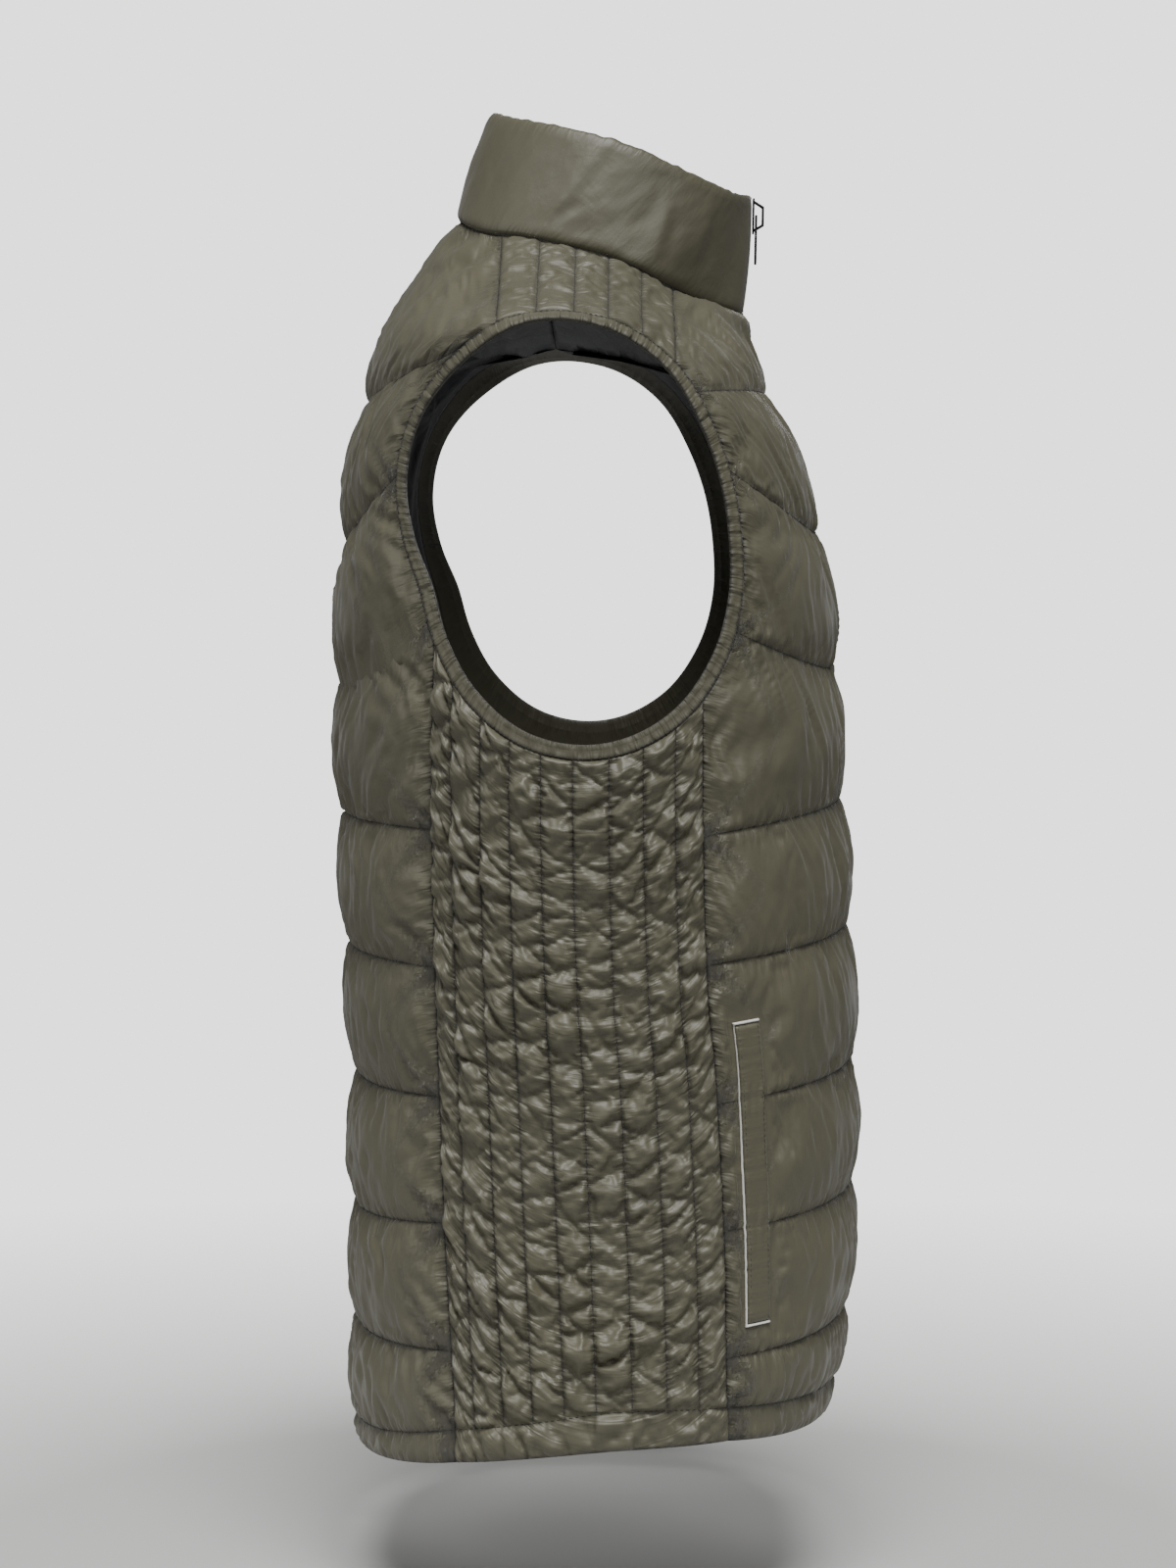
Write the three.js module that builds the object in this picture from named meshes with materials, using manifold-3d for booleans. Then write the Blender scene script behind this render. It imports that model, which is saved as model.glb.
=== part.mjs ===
// A quilted vest with a stand collar, hollow and open as if it were worn.
// Millimetres, +Z up, the front faces -Y and the wearer's right is -X. The origin is on the
// middle plane, at the height where the shoulders carry the vest.
import * as THREE from "three";
import { mergeVertices } from "three/addons/utils/BufferGeometryUtils.js";
import Module from "manifold-3d";

// Cloth thicknesses and quilting
const WALL = 2; // padded shell along a stitched line
const PUFF = 4.8; // how far a wide channel stands above its stitched lines
const SIDE_PUFF = 3; // the same for the narrow upright channels of the side panels
const SHOULDER_PUFF = 3; // and for the channels of the shoulder strips
const SEAM = 0.17; // each panel stops this far short of a seam's line
const LINING = { thick: 0.7, edge: 2.3, slack: 0.8 }; // it hangs free of the shell
const COLLAR_WALL = 5.2;

// Armhole border: flat outside, rolled edge, facing inside
const BORDER = 9;
const FACING = 24;

// Zip
const CHAIN_HALF = 3;
const CHAIN_HIGH = 2.6;
const TAPE = { from: 3.3, to: 11 };
const FRONT_EDGE = 5; // the fronts begin this far from the middle plane

const table = (names, rows) =>
  rows.map((row) => Object.fromEntries(names.map((name, i) => [name, row[i]])));

// Level sections of the inside of the vest: height, middle of the front and of the back, half
// width, where it is widest, and how square the front and back corners are.
const SECTIONS = table(["z", "front", "back", "half", "wide", "squareFront", "squareBack"], [
  [-710, -148, 136, 213, -5, 0.07, 0.07],
  [-676, -152, 139, 214, -5, 0.07, 0.07],
  [-620, -161, 138, 212, -8, 0.07, 0.07],
  [-540, -165, 139, 211, -10, 0.07, 0.07],
  [-460, -165, 138, 212, -10, 0.07, 0.07],
  [-380, -162, 143, 214, -8, 0.07, 0.07],
  [-300, -158, 146, 218, -5, 0.06, 0.06],
  [-215, -153, 147.5, 222, 0, 0.05, 0.05],
  [-133, -142.5, 143, 222, 8, 0.05, 0.04],
  [-90, -128, 138.5, 219, 12, 0.05, 0.03],
  [-50, -111, 129, 213, 16, 0.04, 0],
  [-19, -102.5, 117, 205, 18, -0.08, -0.04],
  [-1.5, -98, 109, 163, 20, -0.13, -0.06],
  [3, -83.5, 106.5, 153, 21, -0.1, -0.06],
  [11, -66, 102.5, 134, 22, -0.03, -0.05],
  [22, -59, 96.5, 110, 25, 0, -0.03],
  [29, -56, 92.5, 97, 28, 0, 0],
  [35, -50, 89, 88, 30, 0, 0],
  [43, -48, 84.5, 79, 22, 0, 0],
  [57, -46, 74, 75, 20, 0, 0],
  [70, -46, 64, 70, 20, 0, 0],
]);

// Neck seam and collar top, seen from the side
const NECK = table(["y", "z"], [
  [74, 57], [52, 43], [33, 40], [12, 35], [-11, 29], [-30, 22], [-52, 11], [-77, 3], [-98, -1.5],
]);
const COLLAR_TOP = table(["y", "z"], [
  [-105, 74], [-96, 73], [-64, 84], [-28, 99], [11, 110], [45, 119], [58, 125],
]);
const COLLAR_PLAN = { y: -23.5, depth: 81.5, half: 76 };

// Armhole edge as radii around its middle, every 20 degrees from the back upwards
const ARMHOLE = {
  y: 7,
  z: -140,
  radii: [90.2, 101.1, 111.3, 117.9, 124.6, 121.5, 112.6, 100.4, 94.2, 93.6, 99.6, 108.7, 118,
    121.4, 116.4, 104.2, 91.5, 84],
};

// Seams of the side panel and of the shoulder strip
const SIDE_FRONT = table(["z", "y"], [
  [-700, -86.5], [-664, -85.2], [-560, -83.5], [-505, -81], [-450, -77.9], [-412, -73.9],
  [-312, -70.5], [-200, -70.5],
]);
const SIDE_BACK = table(["z", "y"], [
  [-700, 71], [-664, 71.7], [-542, 78.4], [-311, 85], [-176, 83], [-140, 83],
]);
const STRIP_FRONT = -54.5;
const STRIP_BACK = 48;

// Quilting lines: height at the middle, height at the outer seam, how the line bends
// towards the seam and how far it dips on the way.
const LINE = ["middle", "outer", "bend", "dip"];
const FRONT_LINES = table(LINE, [
  [-51, -57, 2, 0], [-133, -103, 2, 7], [-215, -196, 2, 7], [-300, -314, 2, 0],
  [-377.5, -389, 2, 0], [-460, -470, 2, 0], [-537, -545, 2, 0], [-614, -620, 2, 0],
  [-656, -649, 2, 0], [-676, -669, 2, 0],
]);
const BACK_LINES = table(LINE, [
  [-56.5, -33, 1.6, 0], [-144, -105, 2, 0], [-227.5, -190, 4, 0], [-308, -311, 2, 0],
  [-388.6, -391.6, 2, 0], [-469, -468, 2, 0], [-550, -542, 2, 0], [-622.5, -617, 2, 0],
  [-682, -662.5, 2, 0], [-697, -681.6, 2, 0],
]);
const CHANNEL = [0.2, 0.5, 0.8]; // rows inside a wide channel

// Columns across a front from the zip to the side seam, and across half the back
const FRONT_COLUMNS = [0, 0.05, 0.17, 0.3, 0.43, 0.55, 0.66, 0.76, 0.83, 0.885, 0.94, 1];
const BACK_COLUMNS = [0, 0.13, 0.26, 0.39, 0.52, 0.65, 0.77, 0.88, 0.95, 1];
const EDGE_FADE = 0.05;

// Upright lines of a side panel and of a shoulder strip, as shares from the back seam
const SIDE_LINES = [0, 0.073, 0.18, 0.288, 0.404, 0.522, 0.655, 0.782, 0.9, 1];
const SIDE_HEM = table(["share", "seam", "edge"], [
  [0, -662.5, -681.6], [0.3, -655, -675.5], [0.6, -648.5, -671], [1, -649, -669],
]);
const STRIP_LINES = [0, 0.22, 0.43, 0.62, 0.81, 1];

// The pocket lies on these columns and rows of the front
const POCKET = { from: 0.84, middle: 0.885, to: 0.925, piping: 0.936 };

const { lerp } = THREE.MathUtils;
const vec = (x, y, z) => new THREE.Vector3(x, y, z);

// A smooth curve through one column of a table, as a function of another
function curve(rows, key, name) {
  const list = [...rows].sort((a, b) => a[key] - b[key]);
  const slope = (i) => {
    const a = list[Math.max(0, i - 1)];
    const b = list[Math.min(list.length - 1, i + 1)];
    return (b[name] - a[name]) / (b[key] - a[key]);
  };
  return (t) => {
    let i = 0;
    while (i < list.length - 2 && list[i + 1][key] < t) i += 1;
    const [a, b] = [list[i], list[i + 1]];
    const w = b[key] - a[key];
    const s = THREE.MathUtils.clamp((t - a[key]) / w, 0, 1);
    const h = s * s * (3 - 2 * s);
    return lerp(a[name], b[name], h) + w * (slope(i) * s * (1 - s) ** 2 - slope(i + 1) * s * s * (1 - s));
  };
}

// Finds where a rising or falling function passes zero
function solve(f, low, high) {
  const rising = f(high) > f(low);
  for (let i = 0; i < 44; i += 1) {
    const middle = (low + high) / 2;
    if (f(middle) > 0 === rising) high = middle;
    else low = middle;
  }
  return (low + high) / 2;
}

const section = {};
for (const name of Object.keys(SECTIONS[0])) if (name !== "z") section[name] = curve(SECTIONS, "z", name);

// A point of the inside of the vest: turn is 0 at the zip, a quarter turn at the wearer's right
// side and half a turn at the middle of the back.
function inside(turn, z) {
  const c = Math.cos(turn);
  const front = c > 0;
  const square = section[front ? "squareFront" : "squareBack"](z);
  const out = 1 + square * Math.sin(2 * turn) ** 2;
  const wide = section.wide(z);
  const depth = front ? wide - section.front(z) : section.back(z) - wide;
  return vec(-section.half(z) * Math.sin(turn) * out, wide - depth * c * out, z);
}

// The same, moved along the surface's normal
function skin(turn, z, off = 0) {
  const p = inside(turn, z);
  if (off === 0) return p;
  const up = inside(turn, z + 0.2).sub(inside(turn, z - 0.2));
  const round = inside(turn + 1e-3, z).sub(inside(turn - 1e-3, z));
  return p.addScaledVector(up.cross(round).normalize(), off);
}

// The turn of the place at y on a level section, on the wearer's right
function turnAtY(y, z) {
  const wide = section.wide(z);
  const front = y < wide;
  const square = section[front ? "squareFront" : "squareBack"](z);
  const share = (wide - y) / (front ? wide - section.front(z) : section.back(z) - wide);
  let c = share;
  for (let i = 0; i < 14; i += 1) {
    c = THREE.MathUtils.clamp(share / (1 + 4 * square * c * c * (1 - c * c)), -1, 1);
  }
  return Math.acos(c);
}
const turnAtX = (x, z) => solve((t) => -inside(t, z).x - x, 0, 0.6);

// Height of the neck seam for each turn, and at the zip
const PIT = NECK.at(-1).z;
const neckRows = NECK.map(({ y, z }, i) => ({
  turn: i === 0 ? Math.PI : i === NECK.length - 1 ? 0 : turnAtY(y, z),
  z,
}));
const neckHalf = curve([
  ...neckRows,
  { turn: -neckRows.at(-2).turn, z: neckRows.at(-2).z },
  { turn: 2 * Math.PI - neckRows[1].turn, z: neckRows[1].z },
], "turn", "z");
const neckZ = (turn) => neckHalf(turn <= Math.PI ? turn : 2 * Math.PI - turn);

// A smooth closed curve through values at equal angles
const closedCurve = (values) => (angle) => {
  const n = values.length;
  const t = (((angle / (2 * Math.PI)) % 1) + 1) % 1 * n;
  const i = Math.floor(t);
  const s = t - i;
  const [a, b, c, d] = [-1, 0, 1, 2].map((k) => values[(i + k + n) % n]);
  return 0.5 * (2 * b + (c - a) * s + (2 * a - 5 * b + 4 * c - d) * s * s
    + (3 * b - a - 3 * c + d) * s ** 3);
};
const armRadius = closedCurve(ARMHOLE.radii);
const atRadius = (angle, r) => {
  const y = ARMHOLE.y + r * Math.cos(angle);
  const z = ARMHOLE.z + r * Math.sin(angle);
  return { turn: turnAtY(y, z), y, z };
};

// The ring at a distance outwards from the armhole edge, measured along the cloth
function hoop(distance) {
  const radii = Array.from({ length: 90 }, (_, i) => {
    const angle = (i / 90) * 2 * Math.PI;
    let r = armRadius(angle);
    for (let left = distance; left > 1e-9; left -= 1) {
      const [a, b] = [atRadius(angle, r), atRadius(angle, r + 0.05)];
      r += (Math.min(left, 1) * 0.05) / inside(a.turn, a.z).distanceTo(inside(b.turn, b.z));
    }
    return r;
  });
  const radius = closedCurve(radii);
  return (angle) => atRadius(angle, radius(angle));
}
const panelEdge = hoop(BORDER + 0.3);

// Corners where the panels meet the armhole border, as angles around it
const DEG = Math.PI / 180;
const sideFront = curve(SIDE_FRONT, "z", "y");
const sideBack = curve(SIDE_BACK, "z", "y");
// The angle where an upright line, given as y for each height, meets the border
function meets(lineY, low, high) {
  return solve((a) => {
    const p = panelEdge(a);
    return p.y - lineY(p.z);
  }, low, high);
}
const corner = {
  stripBack: meets(() => STRIP_BACK, 40 * DEG, 100 * DEG),
  stripFront: meets(() => STRIP_FRONT, 90 * DEG, 150 * DEG),
  sideFront: meets(sideFront, 200 * DEG, 260 * DEG),
  sideBack: meets(sideBack, 300 * DEG, 350 * DEG),
};
const stations = []; // angles where panel points touch the armhole border

// The outer edge of a front: strip seam, armhole, side seam, by height
function frontEdge(z) {
  if (z > panelEdge(corner.stripFront).z) return { turn: turnAtY(STRIP_FRONT - SEAM, z), z };
  if (z < panelEdge(corner.sideFront).z) return { turn: turnAtY(sideFront(z) - SEAM, z), z };
  const angle = solve((a) => panelEdge(a).z - z, corner.stripFront, corner.sideFront);
  stations.push(angle);
  return { turn: panelEdge(angle).turn, z };
}

// The outer edge of the back
function backEdge(z) {
  if (z > panelEdge(corner.stripBack).z) return { turn: turnAtY(STRIP_BACK + SEAM, z), z };
  if (z < panelEdge(corner.sideBack).z) return { turn: turnAtY(sideBack(z) + SEAM, z), z };
  const angle = solve((a) => panelEdge(a).z - z, corner.sideBack - 2 * Math.PI, corner.stripBack);
  stations.push(angle);
  return { turn: panelEdge(angle).turn, z };
}

// A panel between the neck, the middle and an outer edge, laid out by its quilting lines. Each
// point keeps its turn, its height, its share of the width and how full the padding is there.
function panel(lines, columns, start, edge, edgeTop, fullness, rowsIn) {
  const last = lines.length;
  const neckStart = start(PIT);
  const edges = [edgeTop, ...lines.map(({ outer }) => outer)];
  const middles = [neckZ(neckStart), ...lines.map(({ middle }) => middle)];
  // A place on line k; line 0 is the neck seam
  const onLine = (k, u) => {
    if (k === 0) {
      const turn = lerp(neckStart, edge(edgeTop).turn, u);
      return { turn, z: neckZ(turn) };
    }
    const { middle, outer, bend, dip } = lines[k - 1];
    const z = middle + (outer - middle) * u ** bend - dip * 4 * u * (1 - u);
    return { turn: lerp(start(middle), edge(outer).turn, u), z };
  };
  const grid = [];
  for (let k = 0; k <= last; k += 1) {
    const next = Math.min(k + 1, last);
    for (const v of k < last ? [0, ...rowsIn(k)] : [0]) {
      const between = (u) => {
        const [a, b] = [onLine(k, u), onLine(next, u)];
        return { turn: lerp(a.turn, b.turn, v), z: lerp(a.z, b.z, v) };
      };
      const right = edge(lerp(edges[k], edges[next], v));
      const z = lerp(middles[k], middles[next], v);
      const left = { turn: k + v === 0 ? neckStart : start(z), z };
      const [first, end] = [between(0), between(1)];
      grid.push(columns.map((u) => {
        const here = between(u);
        const at = (key) => here[key] + (1 - u) * (left[key] - first[key]) + u * (right[key] - end[key]);
        return { turn: at("turn"), z: at("z"), u, k, v, puff: fullness(k, v, u) };
      }));
    }
  }
  return grid;
}

// Closes two equal grids of points into one body
function closeGrids(front, back) {
  const rows = front.length;
  const columns = front[0].length;
  const points = [...front.flat(), ...back.flat()];
  const F = (r, c) => r * columns + c;
  const B = (r, c) => rows * columns + F(r, c);
  const faces = [];
  const quad = (a, b, c, d) => faces.push([a, b, c], [a, c, d]);
  for (let r = 0; r + 1 < rows; r += 1) {
    for (let c = 0; c + 1 < columns; c += 1) {
      const flip = front[r][c].distanceTo(front[r + 1][c + 1])
        > front[r][c + 1].distanceTo(front[r + 1][c]);
      for (const [f, turned] of [[F, false], [B, true]]) {
        const q = [f(r, c), f(r, c + 1), f(r + 1, c + 1), f(r + 1, c)];
        const [a, b, d, e] = flip ? [q[1], q[2], q[3], q[0]] : q;
        if (turned) quad(e, d, b, a);
        else quad(a, b, d, e);
      }
    }
  }
  for (let c = 0; c + 1 < columns; c += 1) {
    quad(F(0, c + 1), F(0, c), B(0, c), B(0, c + 1));
    quad(F(rows - 1, c), F(rows - 1, c + 1), B(rows - 1, c + 1), B(rows - 1, c));
  }
  for (let r = 0; r + 1 < rows; r += 1) {
    quad(F(r, 0), F(r + 1, 0), B(r + 1, 0), B(r, 0));
    quad(F(r + 1, columns - 1), F(r, columns - 1), B(r, columns - 1), B(r + 1, columns - 1));
  }
  return body(points, faces);
}

// Closes rings of points into one body: each ring is closed, and so is the row of rings
function closeRings(rings) {
  const n = rings[0].length;
  const at = (i, j) => (i % rings.length) * n + (j % n);
  const faces = [];
  rings.forEach((_, i) => {
    for (let j = 0; j < n; j += 1) {
      faces.push([at(i, j), at(i + 1, j), at(i + 1, j + 1)], [at(i, j), at(i + 1, j + 1), at(i, j + 1)]);
    }
  });
  return body(rings.flat(), faces);
}

// A geometry from points and faces, turned the right way out
function body(points, faces) {
  let volume = 0;
  for (const [a, b, c] of faces) volume += points[a].dot(points[b].clone().cross(points[c]));
  const wound = volume > 0 ? faces : faces.map(([a, b, c]) => [a, c, b]);
  const geometry = new THREE.BufferGeometry();
  const numbers = points.flatMap((p) => [p.x, p.y, p.z]);
  geometry.setAttribute("position", new THREE.Float32BufferAttribute(numbers, 3));
  geometry.setIndex(wound.flat());
  geometry.computeVertexNormals();
  return geometry;
}

const mirrored = (grid) => grid.map((row) => row.map((p) => vec(-p.x, p.y, p.z)));

// The vest
const vest = new THREE.Group();
const look = (color, roughness, metalness = 0) => () => (
  new THREE.MeshStandardMaterial({ color, roughness, metalness })
);
const olive = look(0x605b4e, 0.5);
const charcoal = look(0x23242c, 0.55);
const black = look(0x121212, 0.5);
const gunmetal = look(0x2b2c2c, 0.35, 0.9);
const white = look(0xe4e1d8, 0.6);
function add(name, geometry, material, parent = vest) {
  const mesh = new THREE.Mesh(geometry, material());
  mesh.name = name;
  parent.add(mesh);
  return mesh;
}
// Adds a piece on the wearer's right and its mirror image on the left
function addPair(name, outer, inner, material) {
  add(`${name}_right`, closeGrids(outer, inner), material);
  add(`${name}_left`, closeGrids(mirrored(outer), mirrored(inner)), material);
}

// Padding of the wide channels; the top one swells away from the neck seam slowly
function wideSwell(k, v, last) {
  if (v === 0) return 0;
  if (k === last - 1) return 2; // the hem band
  return k === 0 ? 0.85 * PUFF * Math.sin(Math.PI * v ** 1.5) : PUFF * Math.sin(Math.PI * v) ** 0.65;
}
const fade = (d) => THREE.MathUtils.clamp(d / EDGE_FADE, 0, 1);
const seamTurn = (y) => solve((t) => inside(t, neckZ(t)).y - y, 0.2, 2.9);
// How far down a channel, between two heights of its outer edge, a corner at the armhole lies
const cornerShare = (angle, top, low) => (top - panelEdge(angle).z) / (top - low);

// Fronts, flat under the pocket and thin beside the zip
const frontTop = neckZ(seamTurn(STRIP_FRONT));
const frontRows = (k) => {
  if (k === FRONT_LINES.length - 1) return [0.5];
  if (k === 3) {
    return [cornerShare(corner.sideFront, FRONT_LINES[2].outer, FRONT_LINES[3].outer), 0.5, 0.8];
  }
  if (k > 0) return CHANNEL;
  const c = cornerShare(corner.stripFront, frontTop, FRONT_LINES[0].outer);
  return [0.22, 0.52, c, lerp(c, 1, 0.5)];
};
const underPocket = (k, v) => (k === 5 && v > 0.4) || k === 6 || (k === 7 && v < 0.9);
function frontSwell(k, v, u) {
  if (u > 0.8 && u < 0.95 && underPocket(k, v)) return 0.8;
  return wideSwell(k, v, FRONT_LINES.length) * lerp(0.35, 1, Math.min(1, u / 0.3)) * fade(1 - u);
}
const frontStart = (z) => turnAtX(FRONT_EDGE, z);
const frontGrid = panel(
  FRONT_LINES, FRONT_COLUMNS, frontStart, frontEdge, frontTop, frontSwell, frontRows,
);
const frontInner = frontGrid.map((row) => row.map((p) => skin(p.turn, p.z)));
const frontOuter = frontGrid.map((row) => row.map((p) => skin(p.turn, p.z, WALL + p.puff)));
addPair("front", frontOuter, frontInner, olive);

// Back, in one piece from side seam to side seam
const backTop = neckZ(seamTurn(STRIP_BACK));
const backRows = (k) => {
  if (k === BACK_LINES.length - 1) return [0.5];
  if (k > 0) return CHANNEL;
  const c = cornerShare(corner.stripBack, backTop, BACK_LINES[0].outer);
  return [0.22 * c, 0.5 * c, 0.78 * c, c, lerp(c, 1, 0.5)];
};
const backSwell = (k, v, u) => wideSwell(k, v, BACK_LINES.length) * fade(1 - u);
const backHalf = panel(
  BACK_LINES, BACK_COLUMNS, () => Math.PI, backEdge, backTop, backSwell, backRows,
);
// A half of the back, from its middle to its edge, with its mirror image
const bothHalves = (half) => half.map((row) => [
  ...[...row].reverse(),
  ...row.slice(1).map((p) => ({ ...p, turn: 2 * Math.PI - p.turn })),
]);
const backGrid = bothHalves(backHalf);
add("back", closeGrids(
  backGrid.map((row) => row.map((p) => skin(p.turn, p.z, WALL + p.puff))),
  backGrid.map((row) => row.map((p) => skin(p.turn, p.z))),
), olive);

// Columns along stitched lines with two between, and how full the padding is on them
function ribs(lines, puff) {
  const list = [];
  lines.forEach((share, i) => {
    list.push({ share, puff: 0 });
    if (i + 1 < lines.length) {
      for (const s of [0.32, 0.68]) list.push({ share: lerp(share, lines[i + 1], s), puff });
    }
  });
  return list;
}

// Side panels: upright channels from the armhole to the hem
const hemSeam = curve(SIDE_HEM, "share", "seam");
const hemEdge = curve(SIDE_HEM, "share", "edge");
const sideY = (share, z) => lerp(sideBack(z) - SEAM, sideFront(z) + SEAM, share);
const SIDE_ROWS = [0, 0.06, 0.22, 0.4, 0.58, 0.76, 0.92];
const SIDE_FULL = [0, 1, 1, 1, 1, 1, 1, 0, 0.4, 0.4]; // the last three rows are the hem band's
const BAND_ROW = 8;
const BAND_PUFF = 1.4;
const sideColumns = ribs(SIDE_LINES, SIDE_PUFF).map(({ share, puff }) => {
  const angle = meets((z) => sideY(share, z), corner.sideFront - 4 * DEG, corner.sideBack + 4 * DEG);
  stations.push(angle);
  const [top, seam, edge] = [panelEdge(angle).z, hemSeam(share), hemEdge(share)];
  const heights = [...SIDE_ROWS.map((v) => lerp(top, seam, v)), seam, lerp(seam, edge, 0.5), edge];
  return heights.map((z, i) => {
    const band = i === BAND_ROW ? BAND_PUFF * (puff > 0 ? 1 : 0.6) : 0;
    return { turn: turnAtY(sideY(share, z), z), z, puff: puff * SIDE_FULL[i] + band };
  });
});
const sideGrid = sideColumns[0].map((_, i) => sideColumns.map((column) => column[i]));
addPair("side",
  sideGrid.map((row) => row.map((p) => skin(p.turn, p.z, WALL + p.puff))),
  sideGrid.map((row) => row.map((p) => skin(p.turn, p.z))), olive);

// Shoulder strips: channels from the neck to the armhole
const STRIP_ROWS = [0, 0.1, 0.32, 0.55, 0.78, 0.93, 1];
const stripColumns = ribs(STRIP_LINES, SHOULDER_PUFF).map(({ share, puff }) => {
  const y = lerp(STRIP_BACK - SEAM, STRIP_FRONT + SEAM, share);
  const angle = meets(() => y, corner.stripBack - 3 * DEG, corner.stripFront + 3 * DEG);
  stations.push(angle);
  const bottom = panelEdge(angle).z;
  const neckTurn = seamTurn(y);
  return STRIP_ROWS.map((v) => {
    const z = lerp(bottom, neckZ(neckTurn), v);
    return { turn: v === 1 ? neckTurn : turnAtY(y, z), z, puff: v > 0 && v < 1 ? puff : 0 };
  });
});
const stripGrid = stripColumns[0].map((_, i) => stripColumns.map((column) => column[i]));
addPair("shoulder",
  stripGrid.map((row) => row.map((p) => skin(p.turn, p.z, WALL + p.puff))),
  stripGrid.map((row) => row.map((p) => skin(p.turn, p.z))), olive);

// Armhole facings: distance from the edge and height over the inside of the vest
const FACING_PROFILE = table(["out", "off"], [
  [BORDER, 0.1], [BORDER, WALL], [4.5, WALL + 0.4], [0.8, WALL], [0, 0.7], [0.8, -1.8],
  [FACING, -1.8], [FACING, -1.1], [BORDER + 0.6, -1.1],
]);
const turns = stations.map((a) => ((a % (2 * Math.PI)) + 2 * Math.PI) % (2 * Math.PI))
  .sort((a, b) => a - b);
const facingTurns = turns.filter((a, i) => i === 0 || a - turns[i - 1] > 0.012);
const facingHoops = FACING_PROFILE.map(({ out }) => hoop(out));
const facingRings = facingTurns.map((angle) => FACING_PROFILE.map(({ off }, i) => {
  const p = facingHoops[i](angle);
  return skin(p.turn, p.z, off);
}));
add("armhole_facing_right", closeRings(facingRings), olive);
add("armhole_facing_left", closeRings(mirrored(facingRings)), olive);

// Lining: two fronts and a back, sewn to each other under the arm and on the shoulder, and to
// the facings at the armholes
const liningEdge = hoop(FACING + 0.35);
const SIDE_GAP = 0.003; // turn from the middle of the side to each piece's seam
const NECK_GAP = 2.5;
// The side seam's turn, and the angles where it meets the facing above and under the arm
function liningSide(isFront) {
  const turn = Math.PI / 2 - (isFront ? SIDE_GAP : -SIDE_GAP);
  const top = solve((a) => liningEdge(a).turn - turn, 70 * DEG, 120 * DEG);
  const low = solve((a) => liningEdge(a).turn - turn, 250 * DEG, 300 * DEG);
  return { turn, top, low };
}
function liningEdgeAt(side, isFront) {
  const topZ = liningEdge(side.top).z;
  const lowZ = liningEdge(side.low).z;
  return (z) => {
    if (z > topZ || z < lowZ) return { turn: side.turn, z };
    const angle = isFront
      ? solve((a) => liningEdge(a).z - z, side.top, side.low)
      : solve((a) => liningEdge(a).z - z, side.low - 2 * Math.PI, side.top);
    return { turn: liningEdge(angle).turn, z };
  };
}
const liningLines = (underarm, hem) => table(LINE, [
  [-30, -16, 2, 0], [-75, -55, 2, 0], [-133, -105, 2, 0], [-190, -165, 2, 0], [-235, -225, 2, 0],
  [-275, -268, 2, 0], [-310, underarm, 2, 0], [-380, -380, 2, 0], [-460, -460, 2, 0],
  [-540, -540, 2, 0], [-614, -605, 2, 0], [hem, -650, 2, 0],
]);
const LINING_COLUMNS = [0, 0.16, 0.33, 0.5, 0.66, 0.8, 0.91, 1];
function liningGrid(isFront) {
  const side = liningSide(isFront);
  const edge = liningEdgeAt(side, isFront);
  const lines = liningLines(liningEdge(side.low).z, isFront ? -655 : -680);
  const start = isFront ? (z) => turnAtX(TAPE.to + 1.5, z) : () => Math.PI;
  const edgeTop = neckZ(side.turn) - NECK_GAP;
  const c = (edgeTop - liningEdge(side.top).z) / (edgeTop - lines[0].outer);
  const rows = (k) => (k === 0 ? [0.5 * c, c] : []);
  return panel(lines, LINING_COLUMNS, start, edge, edgeTop, () => 0, rows)
    .map((row) => row.map((p) => ({ ...p, z: Math.min(p.z, neckZ(p.turn) - NECK_GAP) })));
}
// The lining's outer face, close to the shell along its edges and free of it between them
const liningOff = (p, last) => LINING.edge + LINING.slack
  * THREE.MathUtils.clamp((1 - p.u) / 0.12, 0, 1) * (p.k === last ? 0.5 : 1);
const lined = (grid, deeper) => grid.map((row) => row.map((p) => (
  skin(p.turn, p.z, -liningOff(p, grid.at(-1)[0].k) - deeper)
)));
const liningFront = liningGrid(true);
addPair("lining_front", lined(liningFront, 0), lined(liningFront, LINING.thick), charcoal);
const liningBack = bothHalves(liningGrid(false));
add("lining_back", closeGrids(lined(liningBack, 0), lined(liningBack, LINING.thick)), charcoal);

// Collar: a padded wall standing on the neck seam
const collarTopZ = curve(COLLAR_TOP, "y", "z");
const COLLAR_ROWS = table(["up", "inner", "outer"], [
  [0, 0.2, 3], [0.08, 0, 4.6], [0.35, 0, COLLAR_WALL], [0.65, 0, COLLAR_WALL], [0.9, 0, 4.8],
  [1, 0.8, 3.4],
]);
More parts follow.
